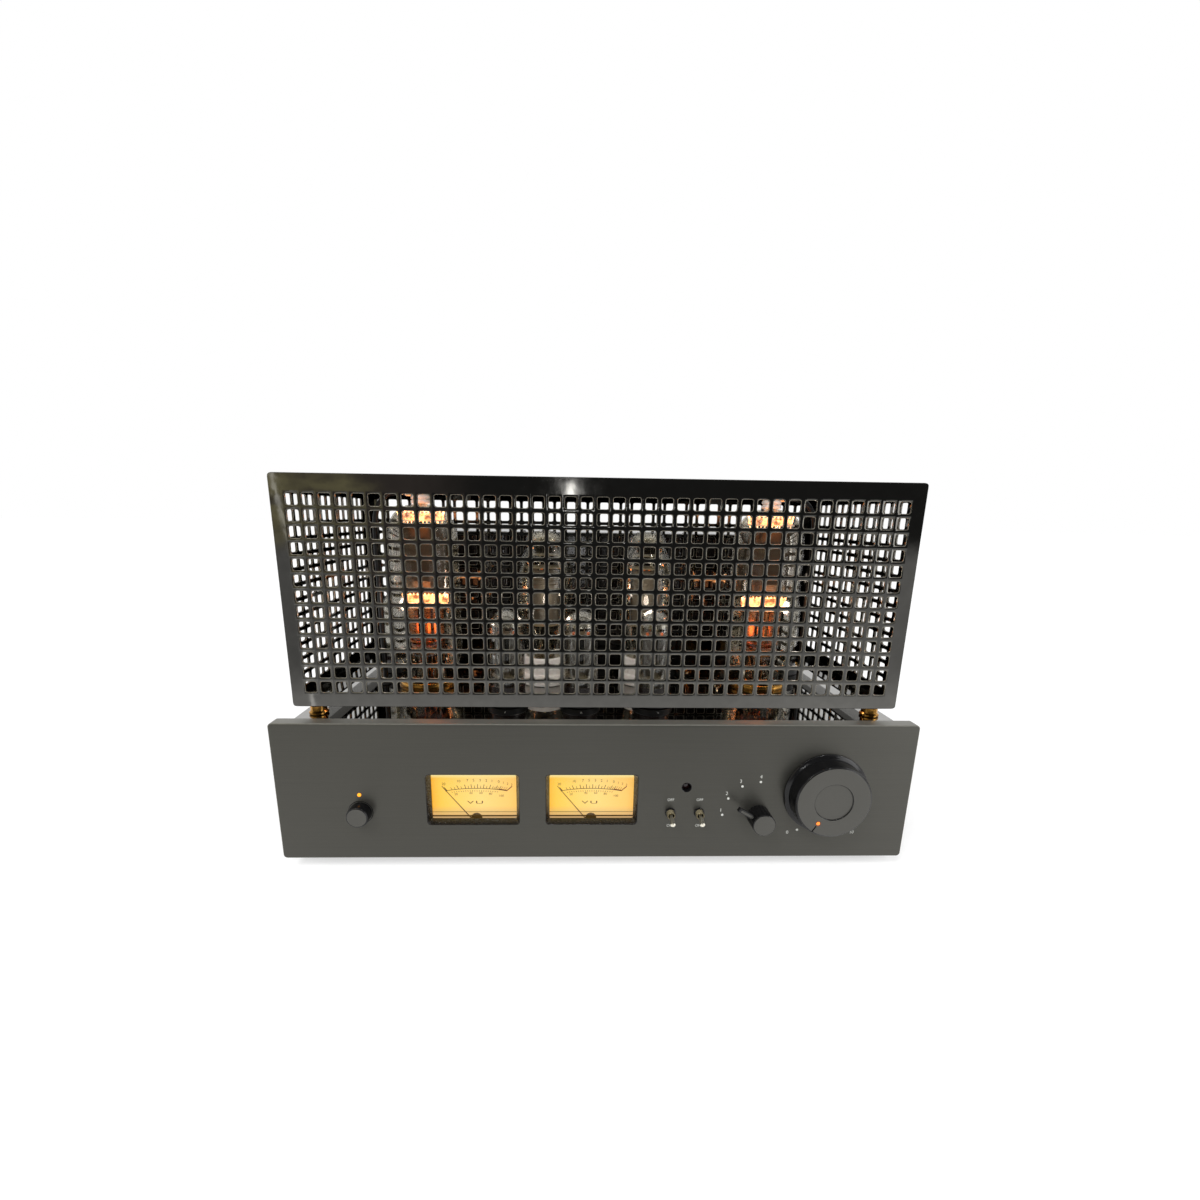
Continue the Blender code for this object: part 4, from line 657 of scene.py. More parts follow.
def dial_paper():
    """Dial card lit by lamps at its top edge, painted as its own glow: amber at the left, paler in the middle,
    greyer low down.
    """
    def make(tree, shader):
        look = bpy.context.scene.amplifier_finish
        place = add(tree, "TexCoord")
        parts = add(tree, "SeparateXYZ", {"Vector": (place, "Object")})
        centres = [JOINTS[name]["pos_m"][0] for name in ("left_needle_swing", "right_needle_swing")]
        split = sum(centres) / 2
        side = add(tree, "Math", {0: (parts, "X"), 1: split}, operation="GREATER_THAN")
        middle = add(tree, "MapRange", {"Value": (side, "Value"), "To Min": centres[0], "To Max": centres[1]})
        across = add(tree, "Math", {0: (parts, "X"), 1: (middle, "Result")}, operation="SUBTRACT")
        place_across = add(tree, "MapRange", {"Value": (across, "Value"), "From Min": -0.036, "From Max": 0.036})
        ramp = add(tree, "ValToRGB", {"Fac": (place_across, "Result")})
        keys = ramp.color_ramp.elements
        keys[0].position, keys[0].color = 0.0, linear("ffb428")
        keys[1].position, keys[1].color = 1.0, linear("ffc45e")
        for position, code in ((0.12, "ffcf4a"), (0.55, "ffdc88"), (0.85, "fdcf74")):
            keys.new(position).color = linear(code)
        # Painted shade: the glow greys towards the bottom, away from the lamps at the top edge
        height = add(tree, "MapRange", {"Value": (parts, "Z"), "From Min": 0.0355, "From Max": 0.046})
        low = add(tree, "Mix", {"Factor": (height, "Result")}, data_type="RGBA")
        low.inputs[6].default_value = linear("c9a67c")
        tree.links.new(ramp.outputs["Color"], low.inputs[7])
        # Painted light: the glow is brightest just under the lamps
        top = add(tree, "MapRange", {"Value": (parts, "Z"), "From Min": 0.0695, "From Max": 0.072})
        lit = add(tree, "Mix", {"Factor": (top, "Result")}, data_type="RGBA")
        tree.links.new(low.outputs[2], lit.inputs[6])
        lit.inputs[7].default_value = linear("ffefa6")
        tree.links.new(lit.outputs[2], shader.inputs["Emission Color"])
        settle(shader, Base_Color=shade(tuple(look.dial), 0.25), Roughness=0.8, Emission_Strength=look.dial_light)
    return finish_of("lit_dial_card", make)


def ink(name, code, glow=0.0):
    """Screen-printed ink: flat colour with a slightly broken edge texture of 0.3 mm. A glow, where given, is
    painted light of the meter lamps.
    """
    def make(tree, shader):
        spots = grained(tree, (3000, 3000, 3000), 1)
        base = linear(code)
        tinted(tree, shader, (ranged(tree, (spots, "Fac"), 0, 1), "Result"), shade(base, 0.85), shade(base, 1.0))
        settle(shader, Roughness=0.6, Emission_Color=base, Emission_Strength=glow)
    return finish_of(name, make)


def lens(name, code, glow):
    """Moulded lens with a lamp behind: deep at its rim and brighter in its middle."""
    def make(tree, shader):
        edge = add(tree, "LayerWeight", {"Blend": 0.4})
        level = add(tree, "MapRange", {"Value": (edge, "Facing"), "To Min": glow, "To Max": glow * 0.35})
        settle(shader, Base_Color=shade(linear(code), 0.6), Emission_Color=linear(code), Roughness=0.15)
        tree.links.new(level.outputs["Result"], shader.inputs["Emission Strength"])
    return finish_of(name, make)


def white_ink():
    """White print of the panel's marks."""
    return ink("white_print", "c9cac4")


# ---- Pieces ----

def foot_of(node):
    """Middle of a node in X and Y, at its lowest height."""
    low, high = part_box(node)
    return (low.x + high.x) / 2, (low.y + high.y) / 2, low.z


def measures(node):
    """Width, depth and height of a node in millimetres."""
    low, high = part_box(node)
    return (high.x - low.x) / MM, (high.y - low.y) / MM, (high.z - low.z) / MM


def on_face(node, depth):
    """Middle of a node in X and Z, at a depth."""
    low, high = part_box(node)
    return (low.x + high.x) / 2, depth, (low.z + high.z) / 2


def placer(prefix, way, origin, body="chassis", usual_slot=None):
    """A function that adds pieces which share a name's start, a direction, a place and a body.
    It takes one shape or a list of shapes."""
    def put(name, shape, finish, slot=usual_slot, replaces=(), **settings):
        if isinstance(shape, list):
            shape = together(*shape)
        return piece(f"{prefix}_{name}", facing(shape, way, origin), finish, body, slot, replaces, **settings)
    return put


def disc(radius, height, low=0.0, bevel=0.3, steps=48):
    """Turned disc with a rounded upper edge."""
    turn = np.linspace(0, math.pi / 2, 4)
    edge = [(radius - bevel * (1 - math.cos(a)), height - bevel * (1 - math.sin(a))) for a in turn]
    return turned([(0, low), (radius, low), *edge, (0, height)], steps)


def screw(radius=2.6, height=1.4, steps=20):
    """Round-head screw with a hexagon socket."""
    outer = turned([(0, -0.2), (radius, -0.2), (radius, height * 0.45), (radius * 0.8, height * 0.85),
                    (radius * 0.52, height)], steps)
    angle = circle(steps)
    bore = hexagon(radius * 0.4, angle)
    floor = polar(bore, angle, height * 0.3)
    socket = skinned([polar(radius * 0.52, angle, height), polar(bore, angle, height), floor,
                      np.broadcast_to(floor.mean(0), floor.shape)])
    return together(outer, socket)


class BuildPanel(bpy.types.Operator):
    """Finish the front panel and add its print, indicator and sensor"""
    bl_idname = "amplifier.build_panel"
    bl_label = "Front Panel"

    def execute(self, context):
        width, thick, tall = measures("front_panel")
        middle = on_face("front_panel", FRONT)
        turn = np.linspace(0, math.pi / 2, 5)
        edge = [(0.7 * (1 - math.sin(a)), -0.7 * (1 - math.cos(a))) for a in turn]
        rings = [at_level(rounded(width - 2 * step, tall - 2 * step, 3.0 - step, 8), level)
                 for step, level in (*edge, (0, -thick))]
        holes = []
        for side in ("left", "right"):
            x, _, z = on_face(f"{side}_meter_window", FRONT)
            holes.append(rounded(70.4, 42.0, 3.0, 5) + ((x - middle[0]) / MM, (z - middle[2]) / MM))
        x, _, z = on_face("remote_sensor", FRONT)
        holes.append(polar(3.72, circle(40), 0)[:, :2] + ((x - middle[0]) / MM, (z - middle[2]) / MM))
        shapes = [skinned(rings)]
        for ring, level in ((rings[0], 0.0), (rings[-1], -thick)):
            shapes.append(filled([ring] + [at_level(hole, level) for hole in holes]))
        shapes += [skinned([at_level(hole, level) for level in (0.0, -thick)]) for hole in holes]
        points, faces = facing(together(*shapes), "front", middle)
        # Faces of the rounded edge and the sides take the second finish, whose paler colour is a painted highlight
        kinds = (np.arange(len(faces)) < len(shapes[0][1])).astype(np.int32)
        piece("panel_plate", (points, faces, kinds), brushed_aluminium(), slot="anodised_panel",
              replaces=("front_panel",), second=brushed_edge())
        volume, selector = JOINTS["volume_turn"]["pos_m"], JOINTS["selector_turn"]["pos_m"]
        marks = []
        dot = disc(0.95, 0.06, bevel=0.02, steps=16)
        for number, degrees in enumerate((-90, -60, -30, 0), 1):
            angle = math.radians(degrees)
            reach = np.array([math.sin(angle), math.cos(angle)]) * 27.6
            spot = (selector[0] + reach[0] * MM, FRONT, selector[2] + reach[1] * MM)
            marks.append(facing(dot, "front", spot))
            figure = lettering(str(number), 2.9)
            up = 4.2 if degrees > -80 else 4.0
            marks.append(facing(moved(figure, (-1.4 + 1.4 * (degrees == 0), up, 0.05)), "front", spot))
        for degrees, text, lift in ((-149.4, "0", (-7.5, -2.2)), (149.4, "10", (6.0, -2.2))):
            angle = math.radians(degrees)
            spot = (volume[0] + math.sin(angle) * 36.6 * MM, FRONT, volume[2] + math.cos(angle) * 36.6 * MM)
            marks.append(facing(dot, "front", spot))
            marks.append(facing(moved(lettering(text, 2.8), (*lift, 0.05)), "front", spot))
        for name in ("left_toggle_flip", "right_toggle_flip"):
            x, _, z = JOINTS[name]["pos_m"]
            for text, rise in (("OFF", 10.6), ("ON", -11.2)):
                marks.append(facing(moved(lettering(text, 2.2), (0, rise, 0.05)), "front", (x, FRONT, z)))
        piece("panel_print", together(*marks), white_ink(), slot="anodised_panel", flat=True)

        centre = on_face("power_indicator", FRONT)
        dome = turned([(0, -0.2), (1.5, -0.2), (1.5, 0.2), (1.25, 0.7), (0.75, 1.0), (0, 1.1)], 32)
        piece("indicator_lens", facing(dome, "front", centre), lens("amber_indicator", "ffa024", 1.2),
              slot="amber_lens", replaces=("power_indicator",))

        centre = on_face("remote_sensor", FRONT)
        window = turned([(0, -10), (3.6, -10), (3.6, -4.4), (2.6, -3.5), (1.4, -3.1), (0, -3.0)], 40)
        piece("sensor_lens", facing(window, "front", centre), moulded("smoked_acrylic", "1a0c0c", 0.04, 0.08),
              slot="dark_lens", replaces=("remote_sensor",))
        throat = ring_of([(3.45, -8), (3.7, -8), (3.7, -0.05), (3.95, 0.02), (3.9, 0.12), (3.5, -0.1)], 48)
        piece("sensor_collar", facing(throat, "front", centre), turned_black(), slot="chrome")
        return {"FINISHED"}


class BuildMeters(bpy.types.Operator):
    """Build both meters: dial card, scale, masking strip, window and needle"""
    bl_idname = "amplifier.build_meters"
    bl_label = "Meters"

    def scale(self):
        """Scale of a level meter: an arc of radius R, ticks on rays from a centre below it, and figures."""
        radius, top, half, source = 132.5, 61.0, 24.0, 31.0
        across = np.linspace(-half, half, 49)
        level = top - (radius - np.sqrt(radius ** 2 - across ** 2))
        line = np.stack([np.column_stack([across, level + rise]) for rise in (-0.24, 0.24)])
        flat = np.concatenate([line, np.zeros((2, 49, 1))], -1)
        arc = flat.reshape(-1, 3), grid_faces(2, 49)

        def rays(positions, low, high, width):
            """Thin quads from the arc outwards, each on the ray from the scale's own centre."""
            positions = np.asarray(positions, float)
            height = top - (radius - np.sqrt(radius ** 2 - positions ** 2)) - source
            ray = np.column_stack([positions, height]) / np.hypot(positions, height)[:, None]
            side = np.column_stack([ray[:, 1], -ray[:, 0]]) * width / 2
            foot = np.column_stack([positions, height + source])
            corners = [foot + ray * low - side, foot + ray * low + side,
                       foot + ray * high + side, foot + ray * high - side]
            points = np.stack(corners, 1).reshape(-1, 2)
            return np.column_stack([points, np.zeros(len(points))]), np.arange(len(points)).reshape(-1, 4)

        long_marks = (-22.5, -13.5, -8.0, -3.5, 1.1, 5.6, 10.2, 15.0, 17.6)
        short_marks = (-18.5, -16.0, -11.0, -5.8, -1.2, 3.4, 7.9, 12.4, 13.8, 16.3)
        figures = ((-25.0, 64.6, "20"), (-13.4, 67.0, "10"), (-6.6, 67.6, "7"), (-1.8, 67.8, "5"),
                   (3.2, 67.8, "3"), (8.0, 67.6, "2"), (12.4, 67.2, "1"), (17.6, 66.6, "0"))
        lower = ((-15.7, 55.9, "20"), (-4.2, 56.9, "40"), (3.6, 57.0, "60"), (11.1, 56.3, "80"),
                 (19.4, 54.6, "100"))
        dark = [arc, rays(long_marks, 0, 3.5, 0.48), rays(short_marks, 0, 2.4, 0.36),
                rays(np.linspace(-20, 17.6, 21), -2.8, -1.6, 0.34)]
        dark += [moved(lettering(text, 2.3), (x, z, 0)) for x, z, text in figures]
        dark += [moved(lettering(text, 2.0), (x, z, 0)) for x, z, text in lower]
        for letter, across in (("V", -4.75), ("U", 2.25)):
            points, faces = lettering(letter, 2.7)
            points = (points - (points.max(0) + points.min(0)) / 2) * (5.4 / np.ptp(points[:, 0]), 1, 1)
            dark.append(moved((points, faces), (across, 49.0, 0)))
        red = [rays((19.0, 20.6, 22.0), 0, 3.5, 0.3)]
        red += [moved(lettering(text, 2.0), (x, z, 0))
                for x, z, text in ((21.2, 65.7, "1"), (24.4, 64.9, "2"), (27.6, 64.0, "3"))]
        band = np.array([[17.8, 59.9], [24.0, 58.8], [28.2, 62.6], [27.7, 63.1], [23.8, 59.6], [17.8, 60.7]])
        red.append((np.column_stack([band, np.zeros(6)]), np.array([[0, 1, 4, 5], [1, 2, 3, 4]])))
        return together(*dark), together(*red)

    def execute(self, context):
        dress(moulded("meter_case_abs", "c98f3c"), "left_meter_case", "right_meter_case")
        card = dial_paper()
        # The dial print glows a little: painted light of the meter lamps
        brown, red = ink("dial_brown_print", "5c3c0c", 0.05), ink("dial_red_print", "94400c", 0.10)
        for side in ("left", "right"):
            pivot = JOINTS[f"{side}_needle_swing"]["pos_m"]
            floor = PANEL_BACK + STAND + DIAL_RECESS
            centre = (pivot[0], floor - 0.0001, 0)
            plate = slab(rounded(69, 46, 1.0), -0.05, 0.05)
            piece(f"{side}_dial_card", facing(moved(plate, (0, 55.5, 0)), "front", centre), card,
                  slot="meter_face")
            dark, light = self.scale()
            face = (pivot[0], floor - 0.0002, 0)
            put = placer(f"{side}_dial", "front", face, usual_slot="needle_black")
            put("scale", dark, brown, flat=True)
            put("red_zone", light, red, flat=True)
            dome = turned([(0, 1.3), (4.4, 1.3), (4.4, 1.9), (4.0, 2.2), (0, 2.4)], 40)
            strip = together(block((70, 0.9, 0.7), (0, 38.2, 1.6), 0.1),
                             block((70, 0.35, 0.1), (0, 40.8, 0.2), 0.02), moved(dome, (0, 36.2, 0)))
            # The masking strip's faint glow is painted light of the meter lamps
            piece(f"{side}_dial_strip", facing(strip, "front", (pivot[0], floor, 0)),
                  ink("dial_strip_brown", "57421f", 0.06), slot="meter_face")
            window_front, window_back = (corner.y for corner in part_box(f"{side}_meter_window"))
            middle = on_face(f"{side}_meter_window", window_back)
            bezel = skinned([at_level(rounded(wide, high, corner, 5), level) for wide, high, corner, level
                             in ((70.3, 41.9, 3.0, 5.35), (69.5, 41.1, 2.7, 5.2), (64.4, 37.0, 1.7, 0.6),
                                 (64.4, 37.0, 1.7, 0.1), (70.3, 41.9, 3.0, 0.1))], wrap_rows=True)
            piece(f"{side}_meter_bezel", facing(bezel, "front", (middle[0], window_front, middle[2])),
                  moulded("bezel_black_abs", "14120f", 0.22, 0.32), slot="meter_face")
            pane = slab(rounded(68.0, 40.0, 1.6), 0, 1.5, 0.15)
            piece(f"{side}_window_pane", facing(pane, "front", middle),
                  thin_glass("window_acrylic", "fbfaf6", 1.35), slot="clear_glass",
                  replaces=(f"{side}_meter_window",))
            low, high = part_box(f"{side}_meter_needle")
            rest = -math.degrees(math.atan2(pivot[0] - low.x, high.z - pivot[2]))
            length = (high.z - pivot[2]) / math.cos(math.radians(rest)) / MM
            hub = turned([(0, 0.15), (2.9, 0.15), (2.9, 0.4), (2.4, 0.75), (0, 0.8)], 28)
            stem = np.array([(-0.34, 2.0), (0.34, 2.0), (0.2, length - 5.5), (-0.2, length - 5.5)])
            tip = np.array([(-0.3, length - 5.5), (0.3, length - 5.5), (0.14, length), (-0.14, length)])
            tail = np.array([(-0.3, -2.4), (0.3, -2.4), (0.34, 2.0), (-0.34, 2.0)])
            needle = together(hub, slab(stem, 0.25, 0.55), slab(tip, 0.22, 0.58), slab(tail, 0.25, 0.55))
            spot = (pivot[0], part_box(f"{side}_meter_needle")[1].y + 0.0001, pivot[2])
            # The needle's faint glow is painted light of the meter lamps
            piece(f"{side}_needle_blade", facing(spun(needle, rest), "front", spot),
                  ink("needle_brown_paint", "5e3a10", 0.06), f"{side}_needle", "needle_black",
                  (f"{side}_meter_needle",))
        return {"FINISHED"}


class BuildVolume(bpy.types.Operator):
    """Build the volume knob: flanged body, dished face with its notch, and lamp"""
    bl_idname = "amplifier.build_volume"
    bl_label = "Volume Knob"

    def execute(self, context):
        steps = context.scene.amplifier_shape.round_steps
        x, _, z = JOINTS["volume_turn"]["pos_m"]
        put = placer("volume", "front", (x, FRONT, z), "volume", "black_knob")
        body = turned([(0, -19.5), (3, -19.5), (3, 0.5), (31.6, 0.5), (32.15, 0.8), (32.15, 1.5), (31.8, 1.9),
                       (30.0, 2.4), (29.2, 2.8), (28.95, 3.6), (28.7, 13.2), (28.45, 14.0), (27.9, 14.3),
                       (15.2, 14.3), (15.2, 10.2), (0, 10.2)], steps * 2)
        put("knob_body", body, turned_black(), replaces=("volume_knob",))
        # Face as a height over (r, t): flat rim, a radial notch at the index angle and a dish with a flat floor
        rest = math.radians(149)
        offsets = np.radians([-1.7, -1.35, -1.3, 0, 1.3, 1.35, 1.7])
        even = np.linspace(0, math.tau, steps * 2, endpoint=False)
        away = np.abs((even + math.pi) % math.tau - math.pi) > np.radians(2.2)
        angle = np.sort(np.concatenate([even[away], offsets % math.tau]))
        radius = np.array([0, 6, 13.2, 13.8, 14.0, 14.2, 14.4, 14.7, 14.8, 22.35, 22.5, 25, 27.2, 27.3, 27.75,
                           28.0, 28.0, 0])
        height = np.array([10.6, 10.6, 10.6, 10.7, 11.0, 14.4, 14.8, 14.98, 15, 15, 15, 15, 15, 14.98, 14.75,
                           14.3, 14.2, 14.2])
        dark = np.isin(np.arange(len(radius) - 1), (2, 3, 4, 5, 6, 12, 13, 14, 15))
        points = np.zeros((len(radius), len(angle), 3))
        turn = angle - rest
        points[..., 0] = radius[:, None] * np.sin(turn)
        points[..., 1] = radius[:, None] * np.cos(turn)
        near = np.abs((angle + math.pi) % math.tau - math.pi) < np.radians(1.33)
        notch = near[None] & (radius[:, None] > 22.4) & (height[:, None] > 14.3)
        points[..., 2] = height[:, None] - 0.8 * notch
        face = facing(skinned(points), "front", (x, FRONT, z))
        piece("volume_knob_face", (*face, np.repeat(dark, len(angle)).astype(np.int32)), turned_face(), "volume",
              "black_knob", second=diamond_cut())
        spot = (x - math.sin(rest) * 19.9 * MM, FRONT, z + math.cos(rest) * 19.9 * MM)
        bead = turned([(0, 14.2), (1.45, 14.2), (1.45, 14.95), (1.2, 15.2), (0.7, 15.35), (0, 15.4)], 28)
        piece("volume_lamp", facing(bead, "front", spot), lens("orange_lamp", "ff8a30", 0.95), "volume",
              "amber_lens")
        cup = ring_of([(1.45, 14.7), (2.05, 14.98), (2.05, 15.06), (1.5, 15.06)], 28)
        piece("volume_lamp_rim", facing(cup, "front", spot), moulded("orange_rim", "6a3418"), "volume",
              "black_knob")
        return {"FINISHED"}


class BuildSelector(bpy.types.Operator):
    """Build the selector knob: fluted body, grey face and bar pointer"""
    bl_idname = "amplifier.build_selector"
    bl_label = "Selector Knob"

    def execute(self, context):
        x, _, z = JOINTS["selector_turn"]["pos_m"]
        put = placer("selector", "front", (x, FRONT, z), "selector", "black_knob")
        # Fluted skin: r(t, z) = R(z) - d(z) (1 - |sin 9 t|^0.6), smooth at the skirt and at the face
        steps, flutes = 216, 18
        angle = circle(steps)
        wave = np.abs(np.sin(angle * flutes / 2)) ** 0.6
        rows = ((3.0, -19.5, 0), (3.0, 0.5, 0), (8.2, 0.5, 0), (8.75, 0.9, 0.2), (8.75, 1.4, 1), (8.6, 13.4, 1),
                (8.55, 14.3, 0.5), (8.4, 14.9, 0), (8.1, 15.2, 0), (0, 15.2, 0))
        skin = skinned([polar(radius - 0.62 * share * (1 - wave), angle, level) for radius, level, share in rows])
        bar = slab(rounded(3.3, 15.6, 0.5), 9.0, 11.9, 0.55)
        groove = slab(rounded(1.7, 11.0, 0.4), 11.6, 11.96)
        pointer = spun(moved(bar, (0, 14.0, 0)), -60)
        put("knob_body", together(skin, pointer), turned_black(), replaces=("selector_knob",))
        put("pointer_inlay", spun(moved(groove, (0, 14.4, 0)), -60), turned_face())
        put("knob_face", disc(7.95, 15.5, 15.0, 0.1, 72), turned_face())
        bevel = ring_of([(7.9, 15.1), (8.5, 14.9), (8.42, 15.2), (8.2, 15.42), (7.95, 15.5)], 72)
        put("knob_bevel", bevel, diamond_cut())
        return {"FINISHED"}


class BuildPower(bpy.types.Operator):
    """Build the power button"""
    bl_idname = "amplifier.build_power"
    bl_label = "Power Button"

    def execute(self, context):
        origin = on_face("power_button", FRONT)
        put = placer("power_button", "front", origin, "power", "black_knob")
        stem = (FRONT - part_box("power_button")[0].y) / MM - 2.4
        body = turned([(0, -22), (2.4, -22), (2.4, -6.5), (8.2, -6.5), (8.25, -6.0), (8.25, stem - 1.3),
                       (8.1, stem - 0.8), (7.6, stem - 0.45), (7.6, stem - 0.6), (0, stem - 0.6)], 72)
        put("body", body, turned_black(), replaces=("power_button",))
        # Face: a shallow spherical dish, h(r) = h0 + r^2 / 2R, with a turned edge
        dish = [(r, stem - 0.45 + r * r * 0.006) for r in np.linspace(0, 7.1, 12)]
        face = turned([*dish, (7.15, stem - 0.6), (0, stem - 0.7)], 72)
        put("face", face, turned_face())
        bevel = ring_of([(7.05, stem - 0.7), (7.9, stem - 0.7), (7.8, stem - 0.42), (7.5, stem - 0.2),
                         (7.1, stem - 0.14)], 72)
        put("bevel", bevel, diamond_cut())
        collar = ring_of([(8.75, -1.5), (9.0, -1.5), (9.0, 0.0), (9.35, 0.12), (9.3, 0.2), (8.85, 0.12),
                          (8.75, -0.3)], 64)
        piece("power_collar", facing(collar, "front", origin), turned_black(), slot="black_knob")
        return {"FINISHED"}


class BuildToggles(bpy.types.Operator):
    """Build both toggle switches: threaded bushing, dress nut and bat lever"""
    bl_idname = "amplifier.build_toggles"
    bl_label = "Toggle Switches"

    def execute(self, context):
        for side in ("left", "right"):
            x, pivot, z = JOINTS[f"{side}_toggle_flip"]["pos_m"]
            put = placer(f"{side}_toggle", "front", (x, FRONT, z), usual_slot="chrome")
            # Thread: the bushing's radius swings by 0.12 mm at a pitch of 0.7 mm
            level = np.arange(-9.5, 4.9, 0.175)
            thread = [(3.05 + 0.12 * math.cos(h * math.tau / 0.7), h) for h in level]
            bushing = turned([(0, -9.8), (2.9, -9.8), *thread, (2.95, 5.2), (2.75, 5.5), (2.4, 5.5), (2.35, 0.4),
                              (0, 0.4)], 40)
            body = block((13, 13, 13.6), (0, 0, -17.3), 0.6)
            put("bushing", together(bushing, body), polished("dull_nickel", "8a8168", 0.25, 0.4, 300),
                replaces=(f"{side}_toggle_switch",))
            angle = circle(48)
            outline = np.minimum(hexagon(4.6, angle), 5.05)
            levels = ((3.2, 0.05), (outline, 0.05), (outline, 1.35), (np.minimum(outline, 4.5), 1.7), (3.2, 1.7))
            nut = skinned([polar(r, angle, h) for r, h in levels], wrap_rows=True)
            nut = nut[0] * (0.82, 0.82, 0.8), nut[1]
            put("nut", nut, turned_black())
            # Bat lever: r(h) swells from a slim neck to a rounded tip
            h = np.linspace(1.6, 10.9, 16)
            swell = 1.3 + 0.55 * ((h - 1.6) / 9.3) ** 1.2
            cap = [(1.85 * math.cos(a), 10.9 + 0.7 * math.sin(a)) for a in np.radians([30, 60, 80])]
            ball = [(1.85 * math.sin(a), -1.85 * math.cos(a)) for a in np.radians([0, 25, 50, 75, 100, 125])]
            lever = turned([*ball, *zip(swell, h), *cap, (0, 11.6)], 32)
            tilt = math.radians(14)
            turn = np.array([[1, 0, 0], [0, math.cos(tilt), -math.sin(tilt)], [0, math.sin(tilt), math.cos(tilt)]])
            piece(f"{side}_toggle_bat", facing((lever[0] @ turn.T, lever[1]), "front", (x, pivot, z)),
                  bright_lever(), f"{side}_toggle", "chrome", (f"{side}_toggle_lever",))
        return {"FINISHED"}


class BuildCage(bpy.types.Operator):
    """Build the punched cage and its pillars"""
    bl_idname = "amplifier.build_cage"
    bl_label = "Cage"

    def sheet(self, shape, along, across, edges):
        """Punched sheet in its own plane (s, t, depth).

        The sheet is a grid of lines in s and t. Each hole takes a block of four by four intervals: its 16
        border points are joined to rings of a rounded square that go down through the sheet, rounded at the rim.
        """
        corner, rim = shape.hole_corner / MM, shape.hole_rim / MM
        s_lines, t_lines, s_first, t_first = [], [], [], []
        for store, first, runs in ((s_lines, s_first, along), (t_lines, t_first, across)):
            for kind, values in runs:
                if kind == "holes":
                    for start in values:
                        first.append(len(store))
                        store.extend(start + PITCH * np.array([0, 0.21, 0.5, 0.79]))
                else:
                    store.extend(values)
        s_lines, t_lines = np.array(s_lines), np.array(t_lines)
        rows, columns = len(s_lines), len(t_lines)
        index = np.arange(rows * columns).reshape(rows, columns)
        solid = np.ones((rows - 1, columns - 1), bool)
        cells = [(a, b) for a in s_first for b in t_first]
        ring_i = np.array([2, 3, 4, 4, 4, 4, 4, 3, 2, 1, 0, 0, 0, 0, 0, 1])
        ring_j = np.array([0, 0, 0, 1, 2, 3, 4, 4, 4, 4, 4, 3, 2, 1, 0, 0])
        for a, b in cells:
            solid[a:a + 4, b:b + 4] = False
        a, b = np.array(cells).T
        border = index[a[:, None] + ring_i, b[:, None] + ring_j]
        grid = np.stack(np.broadcast_arrays(s_lines[:, None], t_lines[None]), -1)
        flat = grid.reshape(-1, 2)
        count = len(flat)
        top, bottom = at_level(flat, 0.0), at_level(flat, SHEET)
        if edges:
            flat = self.rounded_corners(flat, 3.0)
            inner_s = np.clip(flat[:, 0], s_lines[0] + 0.3, s_lines[-1] - 0.3)
            inner_t = np.clip(flat[:, 1], t_lines[0] + 0.3, t_lines[-1] - 0.3)
            top[:, 0], top[:, 1], bottom[:, 0], bottom[:, 1] = inner_s, inner_t, inner_s, inner_t
        quads = np.stack([index[:-1, :-1], index[1:, :-1], index[1:, 1:], index[:-1, 1:]], -1)[solid]
        centres = np.stack([s_lines[a] + PITCH / 2, t_lines[b] + PITCH / 2], -1)
        unit = self.hole_ring(HOLE / 2, corner)
        levels = ((rim, 0.0), (rim * 0.3, rim * 0.3), (0.0, rim), (0.0, SHEET - rim), (rim, SHEET))
        rings = []
        for spread, level in levels:
            ring = centres[:, None] + unit * (1 + spread / (HOLE / 2))
            rings.append(np.concatenate([ring, np.full((*ring.shape[:2], 1), level)], -1))
        rings = np.stack(rings, 1)
        ring_index = 2 * count + np.arange(rings[..., 0].size).reshape(rings.shape[:3])
        chain = np.concatenate([border[:, None], ring_index, border[:, None] + count], 1)
        following = np.roll(chain, -1, 2)
        walls = np.stack([chain[:, :-1], chain[:, 1:], following[:, 1:], following[:, :-1]], -1).reshape(-1, 4)
        loop = np.concatenate([index[0, :-1], index[:-1, -1], index[-1, :0:-1], index[:0:-1, 0]])
        rims = np.zeros((len(cells), 6, 16), np.int32)
        # The rounded rim rings take the second finish, whose paler colour is a painted highlight
        rims[:, 1:3] = rims[:, 4] = 1
        points = [top, bottom, rings.reshape(-1, 3)]
        faces = [quads, quads[:, ::-1] + count, walls]
        if edges:
            edge_index = sum(len(part) for part in points)
            outer = flat[loop]
            points += [at_level(outer, level) for level in (0.3, SHEET - 0.3)]
            size = len(loop)
            rim_chain = np.stack([loop, edge_index + np.arange(size), edge_index + size + np.arange(size),
                                  loop + count])
        else:
            rim_chain = np.stack([loop, loop + count])
        around = np.roll(rim_chain, -1, 1)
        faces.append(np.stack([rim_chain[:-1], rim_chain[1:], around[1:], around[:-1]], -1).reshape(-1, 4))
        kinds = np.concatenate([np.zeros(2 * len(quads), np.int32), rims.ravel(),
                                np.zeros(len(faces[-1]), np.int32)])
        return np.vstack(points), np.vstack(faces), kinds

    def rounded_corners(self, flat, radius):
        """Carry each corner square to a quarter disc: (u, v) to (u root(1 - v^2/2), v root(1 - u^2/2))."""
        near = np.clip(flat, flat.min(0) + radius, flat.max(0) - radius)
        share = (flat - near) / radius
        return near + radius * share * np.sqrt(1 - share[:, ::-1] ** 2 / 2)

    def hole_ring(self, half, corner):
        """Sixteen points of a rounded square: each side's middle, and each corner's start, middle and end."""
        arc = corner * (1 - math.cos(math.pi / 4))
        side = np.array([(0, -half), (half - corner, -half), (half - arc, -half + arc), (half, -half + corner)])
        quarter = np.array([[0, 1], [-1, 0]])
        return np.vstack([side @ np.linalg.matrix_power(quarter, turn) for turn in range(4)])

